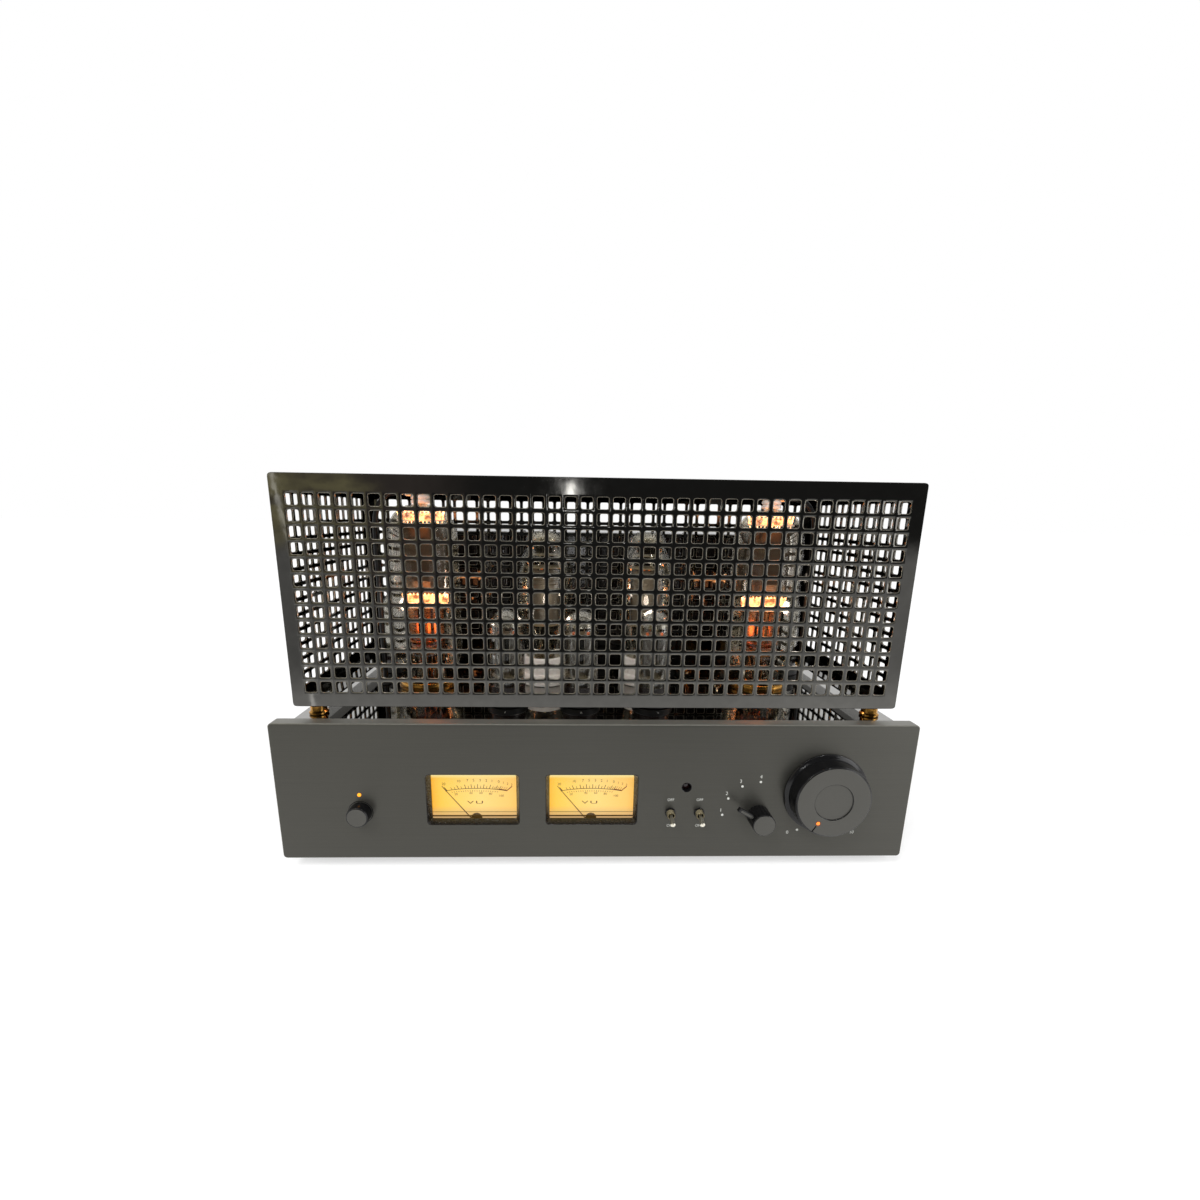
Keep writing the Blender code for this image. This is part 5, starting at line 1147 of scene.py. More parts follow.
    def execute(self, context):
        shape = context.scene.amplifier_shape
        # The second finish paints a highlight on the holes' rounded rims
        coating, edge = gloss_coating(), coated_edge()
        gap = (PITCH - HOLE) / 2
        width, height = (CAGE_HIGH.x - CAGE_LOW.x) / MM, (CAGE_HIGH.z - CAGE_LOW.z) / MM
        depth = (CAGE_BACK - CAGE_LOW.y) / MM
        left = -(FRONT_COLUMNS * PITCH) / 2
        bottom = 11.0 - gap
        near = np.array([1.0, 2.0, 3.0])
        starts_x = left + PITCH * np.arange(FRONT_COLUMNS)
        starts_z = bottom + PITCH * np.arange(ROWS)
        along = [("solid", [-width / 2, *(near - width / 2)]), ("holes", starts_x),
                 ("solid", [-left, *(width / 2 - near[::-1]), width / 2])]
        across = [("solid", [0.0, *near]), ("holes", starts_z),
                  ("solid", [bottom + ROWS * PITCH, *(height - near[::-1]), height])]
        for name, y, way in (("front", CAGE_LOW.y, 1), ("rear", CAGE_BACK, -1)):
            points, faces, kinds = self.sheet(shape, along, across, True)
            placed = np.column_stack([points[:, 0], way * points[:, 2], points[:, 1]]) * MM
            placed += (0, y, CAGE_LOW.z)
            piece(f"cage_{name}_sheet", (placed, faces, kinds), coating, "cage", "gloss_black_steel",
                  (f"cage_{name}",), second=edge)

        # The wrap is one flat sheet carried along its folded section: P(s) + depth * inward(s)
        bend = shape.fold / MM
        half = width / 2
        flange = 22.0
        corners = [(-half, 0), (-half, height), (half, height), (half, 0)]
        path = [(-half + flange, 0.0)]
        turn = np.linspace(0, math.pi / 2, 6)
        inward = [(0.0, 1.0)]
        for (cx, cz), first in zip(corners, (-math.pi / 2, math.pi, math.pi / 2, 0)):
            middle = (cx - math.copysign(bend, cx), cz + (bend if cz == 0 else -bend))
            angle = first - turn
            path += [(middle[0] + bend * math.cos(a), middle[1] + bend * math.sin(a)) for a in angle]
            inward += [(-math.cos(a), -math.sin(a)) for a in angle]
        path.append((half - flange, 0.0))
        inward.append((0.0, 1.0))
        path, inward = np.array(path), np.array(inward)
        run = np.concatenate([[0], np.cumsum(np.hypot(*np.diff(path, axis=0).T))])
        # Lengths along the section at the start and end of each straight run
        wall_up, wall_over, wall_down = run[6], run[12], run[18]
        steps_z = PITCH * np.arange(ROWS)
        up_starts = wall_up - bend + bottom + steps_z
        over_starts = wall_over - bend + (half + left) + PITCH * np.arange(FRONT_COLUMNS)
        down_starts = wall_down + (height - bend) - (bottom + ROWS * PITCH) + steps_z
        stops = [("solid", run[0:7]), ("holes", up_starts), ("solid", [up_starts[-1] + PITCH, *run[7:13]]),
                 ("holes", over_starts), ("solid", [over_starts[-1] + PITCH, *run[13:19]]),
                 ("holes", down_starts), ("solid", [down_starts[-1] + PITCH, *run[19:]])]
        # The wrap stops 1.8 mm inside the front and rear sheets
        inset = 1.8
        first = (depth - SIDE_COLUMNS * PITCH) / 2 - inset
        deep = [("solid", [0.0]), ("holes", first + PITCH * np.arange(SIDE_COLUMNS)),
                ("solid", [first + SIDE_COLUMNS * PITCH, depth - 2 * inset])]
        points, faces, kinds = self.sheet(shape, stops, deep, False)
        s, t, level = points.T
        x = np.interp(s, run, path[:, 0]) + level * np.interp(s, run, inward[:, 0])
        z = np.interp(s, run, path[:, 1]) + level * np.interp(s, run, inward[:, 1])
        placed = np.column_stack([x, t, z]) * MM + (0, CAGE_LOW.y + inset * MM, CAGE_LOW.z)
        piece("cage_wrap_sheet", (placed, faces, kinds), coating, "cage", "gloss_black_steel", ("cage_wrap",),
              second=edge)

        for node in ("front_left_pillar", "front_right_pillar", "rear_left_pillar", "rear_right_pillar"):
            _, _, tall = measures(node)
            # Turned pillar: two beads, a waist and a flat top
            bead = turned([(0, 0), (6.6, 0), (6.95, 0.4), (6.95, 1.6), (6.5, 2.0), (5.9, 2.6), (5.9, tall - 2.6),
                           (6.5, tall - 2.0), (6.95, tall - 1.6), (6.95, tall - 0.5), (6.5, tall), (0, tall)], 48)
            piece(f"{node}_turning", facing(bead, "up", foot_of(node)), brass(), slot="brass", replaces=(node,))
        return {"FINISHED"}


class BuildChassis(bpy.types.Operator):
    """Finish the deck, rear panel and bottom, and add screws and feet"""
    bl_idname = "amplifier.build_chassis"
    bl_label = "Chassis"

    def execute(self, context):
        dress(deck_coating(), "chassis_tray")
        dress(satin_enamel(), "rear_panel", "bottom_cover")
        dress(moulded("fibre_board", "1c4a2c", 0.3, 0.5), "circuit_board")
        dress(black_plastic(), "power_switch")
        dress(nickel(), "selector_switch", "volume_control")
        low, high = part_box("rear_panel")
        heads = [facing(screw(2.4, 1.3), "rear", (x, REAR, z))
                 for x in (low.x + 0.008, low.x / 3, high.x / 3, high.x - 0.008)
                 for z in (low.z + 0.007, high.z - 0.007)]
        piece("rear_panel_screws", together(*heads), turned_black(), slot="black_steel")
        low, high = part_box("bottom_cover")
        points, faces = screw(2.4, 1.3)
        under = points * (1, -1, -1) * MM
        heads = [(under + (x, y, low.z), faces) for x in np.linspace(low.x + 0.010, high.x - 0.010, 4)
                 for y in (low.y + 0.009, high.y - 0.009)]
        piece("bottom_cover_screws", together(*heads), turned_black(), slot="black_steel")
        for node in ("front_left_foot", "front_right_foot", "rear_left_foot", "rear_right_foot"):
            _, _, tall = measures(node)
            foot = turned([(0, 0), (17.4, 0), (18.0, 0.4), (18.9, 1.6), (20.6, 2.6), (21.4, 3.4), (21.9, 4.4),
                           (22.0, tall - 1.2), (21.6, tall - 0.4), (21.0, tall), (0, tall)], 64)
            put = placer(node, "up", (*foot_of(node)[:2], 0), usual_slot="rubber")
            put("pad", foot, rubber(), replaces=(node,))
            band = ring_of([(21.9, tall - 5.2), (22.0, tall - 5.2), (22.0, tall - 2.8), (21.9, tall - 2.8)], 64)
            put("band", band, nickel())
        figures = [facing(moved(lettering(str(number), 3.2), (0, 0, 0.05)), "up",
                          (x, CAGE_LOW.y + 0.0148, DECK)) for number, x in enumerate((-0.072, -0.013, 0.047), 1)]
        piece("deck_print", together(*figures), white_ink(), slot="gloss_black_steel", flat=True)
        return {"FINISHED"}


def centre_of(node):
    """Axis of an upright round node on the deck: its middle in X and Y, and the deck's height."""
    low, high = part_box(node)
    return ((low.x + high.x) / 2, (low.y + high.y) / 2, DECK + STAND)


def shell(outside, wall, top, steps=64):
    """Blown envelope, open at its foot: the outside profile, and the same profile moved in by the wall."""
    outside = np.asarray(outside, float)
    run = np.gradient(outside, axis=0)
    run /= np.linalg.norm(run, axis=1, keepdims=True)
    inside = outside + wall * np.column_stack([-run[:, 1], run[:, 0]])
    inside[:, 0] = np.maximum(inside[:, 0], 0.01)
    profile = np.vstack([[(0, top - wall)], inside[::-1], outside, [(0, top)]])
    return turned(profile, steps)


def spacers(*places):
    """Thin mica discs of a radius, each at its height."""
    return together(*[turned([(0, low), (radius, low), (radius, low + 0.5), (0, low + 0.5)], 40)
                      for radius, low in places])


class BuildOutputValves(bpy.types.Operator):
    """Build the two large output valves: base, glass, anode, filament, cap and lead"""
    bl_idname = "amplifier.build_output_valves"
    bl_label = "Output Valves"

    def execute(self, context):
        look = context.scene.amplifier_finish
        hot = glowing("hot_tungsten", "ffb27a", look.glow_light)
        # Painted light: the plates behind the filaments glow though they are no lamp, to spread the filaments'
        # light
        warm = glowing("heat_lit_plates", "ff9c62", look.glow_light * 0.55, 0.15)
        clear = thin_glass("valve_glass", "f4f1ea", 1.6)
        for side, way in (("left", -1), ("right", 1)):
            put = placer(f"{side}_output", "up", centre_of(f"{side}_output_bulb"))
            base = turned([(0, -25), (25.6, -25), (25.6, 0.0), (25.75, 0.3), (25.75, 2.2), (25.1, 2.6),
                           (25.1, 3.4), (25.75, 3.8), (25.75, 6.8), (25.4, 7.35), (24.8, 7.6), (23.7, 7.6),
                           (23.4, 7.2), (23.35, -1.9), (0, -1.9)], 96)
            put("base_ring", base, brass(), "brass", (f"{side}_output_base",))
            outside = [(22.95, -1.6), (22.95, 6.5), (23.4, 11.0), (25.6, 18.0), (28.3, 26.0), (29.4, 34.0),
                       (29.5, 44.0), (29.5, 84.0), (29.5, 124.0), (29.2, 130.0), (28.0, 136.5), (25.6, 143.0),
                       (21.8, 148.6), (16.8, 152.8), (11.0, 155.4), (6.0, 156.4), (4.4, 157.4), (4.1, 158.6)]
            put("envelope", shell(outside, 1.1, 161.2), clear, "clear_glass", (f"{side}_output_bulb",))
            # Pressed glass foot and its exhaust tip
            foot = turned([(0, -1.6), (17.5, -1.6), (17.0, 2), (13.0, 12), (10.5, 20), (9.5, 28), (8.6, 31),
                           (0, 31.5)], 48)
            put("foot_glass", foot, thin_glass("foot_glass", "e9dfcf", 1.7, 0.04), "clear_glass")
            skirt = ring_of([(12.4, 31.0), (14.2, 31.0), (14.2, 38.0), (12.4, 38.0)], 48)
            rods = [tube([(x, y, 24), (x, y, 74)], 0.9, 8) for x, y in ((-13.3, 0), (13.3, 0), (0, -9), (0, 9))]
            leads = [tube(smooth_path([(x * 0.4, 0, 6), (x * 0.7, 3, 22), (x, 6, 40), (x * 1.1, 6, 72)]), 0.6, 8)
                     for x in (-9, -3, 3, 9)]
            shield = [block((9, 0.6, 30), (x, -4, 54), 0.2) for x in (-11, 0, 11)]
            put("supports", together(skirt, *rods, *leads, *shield), heated_nickel(), "brass")
            collars = [ring_of([(r, h), (r + 1.6, h), (r + 1.6, h + t), (r, h + t)], 48)
                       for r, h, t in ((14.3, 33.0, 2.0), (13.6, 41.0, 1.2))]
            # The collars' coppery colour is painted light of the filaments
            put("collars", collars, polished("warm_copper", "c8794a", 0.2, 0.32), "brass")
            # Anode: an oval tube with pressed ribs, r(t) = oval (1 + 0.022 cos 14 t)
            angle = circle(144)
            outline = oval(19.6, 11.4, angle, 0.62, 0.72, 1 + 0.022 * np.cos(14 * angle))
            levels = ((0.9, 83.8), (0.9, 139.2), (0.985, 139.4), (1.0, 138.6), (1.0, 130.5), (1.025, 130),
                      (1.025, 128.4), (1.0, 128), (1.0, 95), (1.025, 94.6), (1.025, 93), (1.0, 92.6), (1.0, 84.4),
                      (0.985, 83.6))
            anode = skinned([at_level(outline * share, level) for share, level in levels], wrap_rows=True)
            fins = [block((5.5, 0.7, 52), (x, 0, 111.5), 0.2) for x in (-21.6, 21.6)]
            put("anode", together(anode, *fins), graphite(), "brass")
            discs = [slab(rounded(38, 22, 6), low, low + 1.2, 0.2) for low in (70.6, 142.5)]
            put("spacers", discs, ceramic(), "white_ceramic")
            # Filament: a zigzag of wire that shows below and above the anode, each on a straight wire
            turns = np.arange(25)
            zigzags = [np.column_stack([-19 + turns * 38 / 24, np.full(25, -2.0), np.where(turns % 2, low, high)])
                       for low, high in ((73.5, 81.5), (141.5, 150.5))]
            wires = together(tube(zigzags[0], 0.85, 6), tube(zigzags[1], 0.8, 6),
                             tube([(-19, -2, 73), (19, -2, 73)], 0.9, 6),
                             tube([(-17, -2, 151), (17, -2, 151)], 0.8, 6))
            put("filament", wires, hot, "brass")
            # Plates behind each zigzag of filament, carrying a painted glow of its light
            plates = together(slab(rounded(38, 9, 3), 74.5, 80.5, 0.3), slab(rounded(37, 8, 3), 143.6, 149.0, 0.3))
            put("heated_plates", plates, warm, "brass")
            stem = together(tube([(0, 0, 150), (0, 0, 157.5)], 1.4, 10),
                            *[tube([(x, 0, 139), (x, 0, 152)], 0.7, 8) for x in (-13, 13)])
            put("anode_stem", stem, nickel(), "brass")

            # Cap: ribbed steatite over the nipple, with a screw terminal towards the outside
            cap = turned([(0, 161.9), (4.6, 161.9), (4.6, 156.9), (7.4, 156.9), (7.9, 157.3), (7.9, 159.0),
                          (7.1, 159.5), (7.1, 160.3), (7.9, 160.8), (7.9, 162.4), (7.1, 162.9), (7.1, 163.7),
                          (7.9, 164.2), (7.9, 168.6), (7.4, 169.7), (6.3, 170.35), (0, 170.4)], 48)
            put("cap", cap, ceramic(), "white_ceramic", (f"{side}_anode_lead",))
            reach = 39.0 * way
            exit_height = 165.4
            shares = ((0.13, 1), (0.45, 1), (0.72, 0.985), (0.93, 0.92), (1, 0.80), (1, 0.5), (1, 0.1),
                      (1, -0.13))
            route = [(reach * out, 0, exit_height * up) for out, up in shares]
            put("lead", tube(smooth_path(route, 8), 2.15, 16), lead_sleeve(), "rubber")
            ferrule = turned([(2.3, 0), (2.9, 0), (3.1, 0.5), (3.1, 4.5), (2.9, 5), (2.3, 5)], 24)
            turn = ferrule[0][:, [2, 1, 0]] * (way, 1, 1) + (7.0 * way, 0, exit_height)
            put("ferrule", (turn, ferrule[1]), nickel(), "white_ceramic")
            grommet = ring_of([(2.4, 0.0), (3.8, 0.0), (4.2, 0.4), (4.2, 1.0), (3.6, 1.5), (2.6, 1.6)], 32)
            put("grommet", moved(grommet, (reach, 0, -0.3)), rubber(), "rubber")
        return {"FINISHED"}


class BuildDriverValves(bpy.types.Operator):
    """Build the two coke-bottle driver valves"""
    bl_idname = "amplifier.build_driver_valves"
    bl_label = "Driver Valves"

    def execute(self, context):
        clear = thin_glass("driver_glass", "f1efe9", 1.65)
        for side in ("left", "right"):
            put = placer(f"{side}_driver", "up", centre_of(f"{side}_driver_bulb"))
            socket = turned([(0, 0), (22.1, 0), (22.5, 0.4), (22.5, 8.6), (22.1, 9.2), (19.6, 9.4), (19.2, 9.9),
                             (19.2, 22.8), (18.8, 23.8), (17.8, 24.3), (16.5, 24.3), (16.4, 21.4), (0, 21.4)], 72)
            put("socket", socket, ceramic(), "white_ceramic", (f"{side}_driver_base",))
            outside = [(16.0, 21.7), (16.1, 27.0), (16.6, 32.6), (18.4, 40.0), (20.9, 47.5), (23.2, 57.0),
                       (24.6, 67.0), (25.15, 76.0), (25.2, 84.0), (25.0, 92.0), (24.6, 99.0), (23.6, 105.0),
                       (22.0, 110.4), (19.6, 115.0), (17.5, 118.6), (16.5, 122.0), (16.2, 126.0), (15.6, 129.8),
                       (13.6, 133.0), (9.8, 135.1), (5.0, 135.7)]
            put("envelope", shell(outside, 1.2, 135.8), clear, "clear_glass", (f"{side}_driver_bulb",))
            pinch = turned([(0, 21.5), (9.5, 21.5), (8.5, 26), (6.0, 34), (4.6, 40), (3.8, 42), (0, 42.5)], 40)
            put("pinch_glass", pinch, thin_glass("pinch_glass", "e6e0d4", 1.7, 0.05), "clear_glass")
            rods = [tube([(x, y, 36), (x, y, 116)], 0.55, 8) for x, y in
                    ((-12.5, 0), (12.5, 0), (-4, 4), (4, 4), (-4, -4), (4, -4))]
            put("rods", rods, nickel(), "white_ceramic")
            outline = oval(13.6, 7.4, circle(96), 0.8, 0.8)
            levels = ((0.92, 56.4), (0.92, 101.6), (1.0, 101.8), (1.0, 92), (1.04, 91.6), (1.04, 89.8),
                      (1.0, 89.4), (1.0, 70), (1.04, 69.6), (1.04, 67.8), (1.0, 67.4), (1.0, 56.2))
            plate = skinned([at_level(outline * share, level) for share, level in levels], wrap_rows=True)
            put("plates", plate, sheet_nickel(), "white_ceramic")
            put("micas", spacers((17.0, 53.6), (17.0, 104.2), (13.5, 115.0)), mica(), "clear_glass")
            heater = [tube([(x, 0, low), (x, 0, high)], 0.9, 8)
                      for low, high in ((102, 104), (53, 56.4)) for x in (-2.2, 2.2)]
            put("heater", heater, glowing("driver_heater", "ff8440", 1.0), "brass")
            film = [(13.4, 125.5), (13.9, 127.5), (13.7, 129.0), (12.4, 131.4), (9.2, 133.4), (4.8, 134.1),
                    (0, 134.2), (0, 133.8), (4.6, 133.7), (8.9, 133.0), (12.0, 131.1), (13.2, 128.9), (13.3, 126)]
            put("getter", turned(film, 56), getter(), "clear_glass")
        return {"FINISHED"}


class BuildSmallValves(bpy.types.Operator):
    """Build the five small octal valves"""
    bl_idname = "amplifier.build_small_valves"
    bl_label = "Small Valves"

    def execute(self, context):
        clear = thin_glass("small_valve_glass", "efeeea", 1.7, 0.02)
        for place in ("left_front", "middle_front", "right_front", "left_rear", "right_rear"):
            node = f"{place}_small_valve"
            put = placer(f"{place}_valve", "up", centre_of(node), usual_slot="silvered_glass")
            socket = turned([(0, 0), (16.1, 0), (16.5, 0.4), (16.5, 4.9), (16.0, 5.6), (15.2, 6.0), (0, 6.0)], 56)
            put("socket", socket, black_plastic(), replaces=(node,))
            base = turned([(0, 6.0), (14.6, 6.0), (14.8, 6.4), (14.8, 7.4), (14.3, 7.8), (14.3, 14.4), (14.7, 14.8),
                           (14.7, 15.7), (14.4, 16.1), (0, 16.1)], 56)
            put("base", base, moulded("phenolic_base", "1d1512", 0.2, 0.35))
            outside = [(13.5, 16.1), (13.7, 18.0), (13.95, 22.0), (14.0, 40.0), (14.0, 58.0), (13.9, 62.6),
                       (13.3, 66.4), (11.9, 70.0), (9.6, 73.1), (6.6, 75.4), (3.4, 76.6), (1.2, 76.95)]
            put("envelope", shell(outside, 0.9, 77.0, 48), clear)
            plate = [block((5.4, 17.5, 30), (x, 0, 40), 0.8) for x in (-5.8, 5.8)]
            fins = [block((1.0, 20, 27), (x, 0, 40), 0.3) for x in (-8.2, 8.2)]
            put("plates", together(*plate, *fins), sheet_nickel())
            put("micas", spacers((12.6, 23.4), (12.6, 56.0)), mica())
            rods = [tube([(x, y, 17), (x, y, 60)], 0.5, 8)
                    for x, y in ((-9.5, 0), (9.5, 0), (-3, 7), (3, 7), (-3, -7), (3, -7))]
            put("rods", rods, nickel())
            ends = [tube([(x, 0, 55.0), (x, 0, 58.6)], 1.1, 8) for x in (-5.8, 5.8)]
            put("heaters", ends, glowing("small_heater", "ff7c34", 0.6))
            foot = [] if "front" in place else [(12.75, 24.0), (12.75, 40.0), (12.7, 58.0)]
            outer = [*foot, (12.6, 64.2), (12.3, 66.3), (11.1, 69.4), (9.0, 72.3), (6.2, 74.4), (3.2, 75.5),
                     (0, 75.8)]
            inner = [(0, 75.3), (3.1, 75.0), (5.9, 73.9), (8.6, 71.9), (10.6, 69.2), (11.8, 66.2), (12.1, 64.2)]
            inner += [(radius - 0.4, level) for radius, level in foot[::-1]]
            put("getter", turned([*outer, *inner], 48), getter())
        return {"FINISHED"}


class BuildTransformers(bpy.types.Operator):
    """Finish the three transformer covers and add their screws and rubber gaskets"""
    bl_idname = "amplifier.build_transformers"
    bl_label = "Transformers"

    def execute(self, context):
        dress(moulded("varnished_iron", "4a4036", 0.35, 0.5), "left_output_transformer_core",
              "mains_transformer_core", "right_output_transformer_core")
        for name in ("left_output", "mains", "right_output"):
            node = f"{name}_transformer_cover"
            width, length, tall = measures(node)
            put = placer(f"{name}_cover", "up", foot_of(node), usual_slot="black_steel")
            # Cover: rounded-rectangle rings rising to a drawn top edge, then down the inside
            turn = np.linspace(0, math.pi / 2, 6)
            edge = 3.0
            levels = [(0.0, 0.0), (0.0, 0.5), (0.0, tall - edge)]
            levels += [(edge * (1 - math.cos(a)), tall - edge * (1 - math.sin(a))) for a in turn[1:]]
            inner = [(edge + 1.5, tall - 1.5), (1.5, tall - edge), (1.5, 0.0)]
            outer, under = (
                [at_level(rounded(width - 2 * inset, length - 2 * inset, 6.0 - min(inset, most), 6), level)
                 for inset, level in rows] for most, rows in ((4, levels), (4.5, inner)))
            middle = np.broadcast_to(outer[-1].mean(0), outer[-1].shape)
            below = np.broadcast_to(under[0].mean(0), under[0].shape)
            shapes = [skinned(rings) for rings in ([middle, *outer[::-1]], [below, *under], [outer[0], under[-1]])]
            put("shell", shapes, cover_enamel(), replaces=(node,))
            heads = [moved(screw(2.6, 1.2), (x * (width / 2 - 12), y * (length / 2 - 12), tall - 0.1))
                     for x in (-1, 1) for y in (-1, 1)]
            put("screws", heads, turned_black())
            gasket = skinned([at_level(rounded(width + grow, length + grow, 6 + grow / 2, 6), level)
                              for grow, level in ((0.1, 0.0), (0.9, 0.0), (0.9, 0.9), (0.1, 1.3))], wrap_rows=True)
            put("gasket", gasket, rubber())
        return {"FINISHED"}


class BuildSockets(bpy.types.Operator):
    """Build the rear sockets: mains inlet, input jacks and loudspeaker posts"""
    bl_idname = "amplifier.build_sockets"
    bl_label = "Rear Sockets"

    def rear_placer(self, prefix, node):
        """A placer on the rear panel, at a node's middle."""
        return placer(prefix, "rear", on_face(node, REAR + STAND), usual_slot="black_plastic")

    def execute(self, context):
        dress(black_plastic(), "mains_inlet")
        pins = [block((2.02, 4.02, 10), (x, y, -4.9), 0.25) for x, y in ((-7, 2), (7, 2), (0, -4))]
        put = self.rear_placer("inlet", "mains_inlet")
        put("blades", pins, nickel())
        put("screws", [moved(screw(2.4, 1.2), (x, 0, 3.0)) for x in (-19, 19)], nickel())

        put = self.rear_placer("input", "input_jacks")
        put("strip", slab(rounded(98, 44, 3), 0, 2.0, 0.4), satin_enamel(), replaces=("input_jacks",))
        columns = [(column - 1.5) * 22.0 for column in range(4)]
        sleeve = turned([(0, 1.0), (6.2, 1.0), (6.5, 1.3), (6.5, 3.6), (6.1, 4.0), (4.2, 4.0), (4.2, 11.5),
                         (3.8, 12.0), (3.3, 12.0), (3.1, 11.6), (3.1, 5.0), (0, 5.0)], 40)
        bush = turned([(0, 4.8), (3.05, 4.8), (3.05, 9.6), (1.65, 9.8), (1.6, 5.0), (0, 5.0)], 32)
        put("sleeves", [moved(sleeve, (x, z, 0)) for x in columns for z in (10, -10)], gold_plate())
        for tint, code, rise in (("white", "d8d8d4", 10), ("red", "9c1c18", -10)):
            put(f"bushes_{tint}", [moved(bush, (x, rise, 0)) for x in columns], moulded(f"{tint}_ptfe", code))
        figures = [moved(lettering(str(number), 3.0), (x, 19.2, 2.06)) for number, x in enumerate(columns, 1)]
        put("figures", figures, white_ink(), flat=True)
        put("screws", [moved(screw(2.0, 1.0), (x, 0, 2.0)) for x in (-45, 45)], nickel())

        post = turned([(0, 1.0), (5.2, 1.0), (5.2, 6.0), (6.2, 6.2), (6.2, 9.8), (5.0, 10.2), (0, 10.2)], 40)
        collar = turned([(5.4, 1.5), (8.3, 1.5), (8.5, 1.9), (8.5, 5.4), (8.0, 6.0), (5.4, 6.0)], 40)
        # Knurled nut: r(t) = 7.15 + 0.33 |cos 12 t|
        angle = circle(96)
        knurl = 7.15 + 0.33 * np.abs(np.cos(12 * angle))
        rows = ((5.0, 10.0), (knurl - 0.4, 10.0), (knurl, 10.6), (knurl, 18.6), (knurl - 0.5, 19.4), (5.6, 20.0),
                (2.2, 20.0), (2.2, 17.0), (0.0, 17.0))
        nut = skinned([polar(radius, angle, level) for radius, level in rows])
        places = [(-27.0, 0, 0), (0.0, 0, 0), (27.0, 0, 0)]
        for side in ("left", "right"):
            node = f"{side}_speaker_terminals"
            put = self.rear_placer(f"{side}_terminal", node)
            put("strip", slab(rounded(90, 30, 3), 0, 2.0, 0.4), satin_enamel(), replaces=(node,))
            put("posts", [moved(post, place) for place in places], gold_plate())
            put("collars", [moved(collar, place) for place in places], moulded("black_nylon_collar", "1a1a1a"))
            put("nuts", [moved(nut, place) for place in places], gold_plate())
            figures = [moved(lettering(figure, 3.0), (place[0], -12.4, 2.06))
                       for figure, place in zip("048", places)]
            put("figures", figures, white_ink(), flat=True)
            put("screws", [moved(screw(2.0, 1.0), (x, 0, 2.0)) for x in (-41, 41)], nickel())
        return {"FINISHED"}


def linked(name, data):
    """New object with its data, in the scene."""
    made = bpy.data.objects.new(name, data)
    bpy.context.scene.collection.objects.link(made)
    return made


def eye_rays(tree):
    """1 for what is seen straight, in a mirror or through glass, 0 for light that falls on a surface."""
    path = add(tree, "LightPath")
    seen = calc(tree, "MAXIMUM", (path, "Is Camera Ray"), (path, "Is Glossy Ray"))
    return calc(tree, "MAXIMUM", seen, (path, "Is Transmission Ray"))


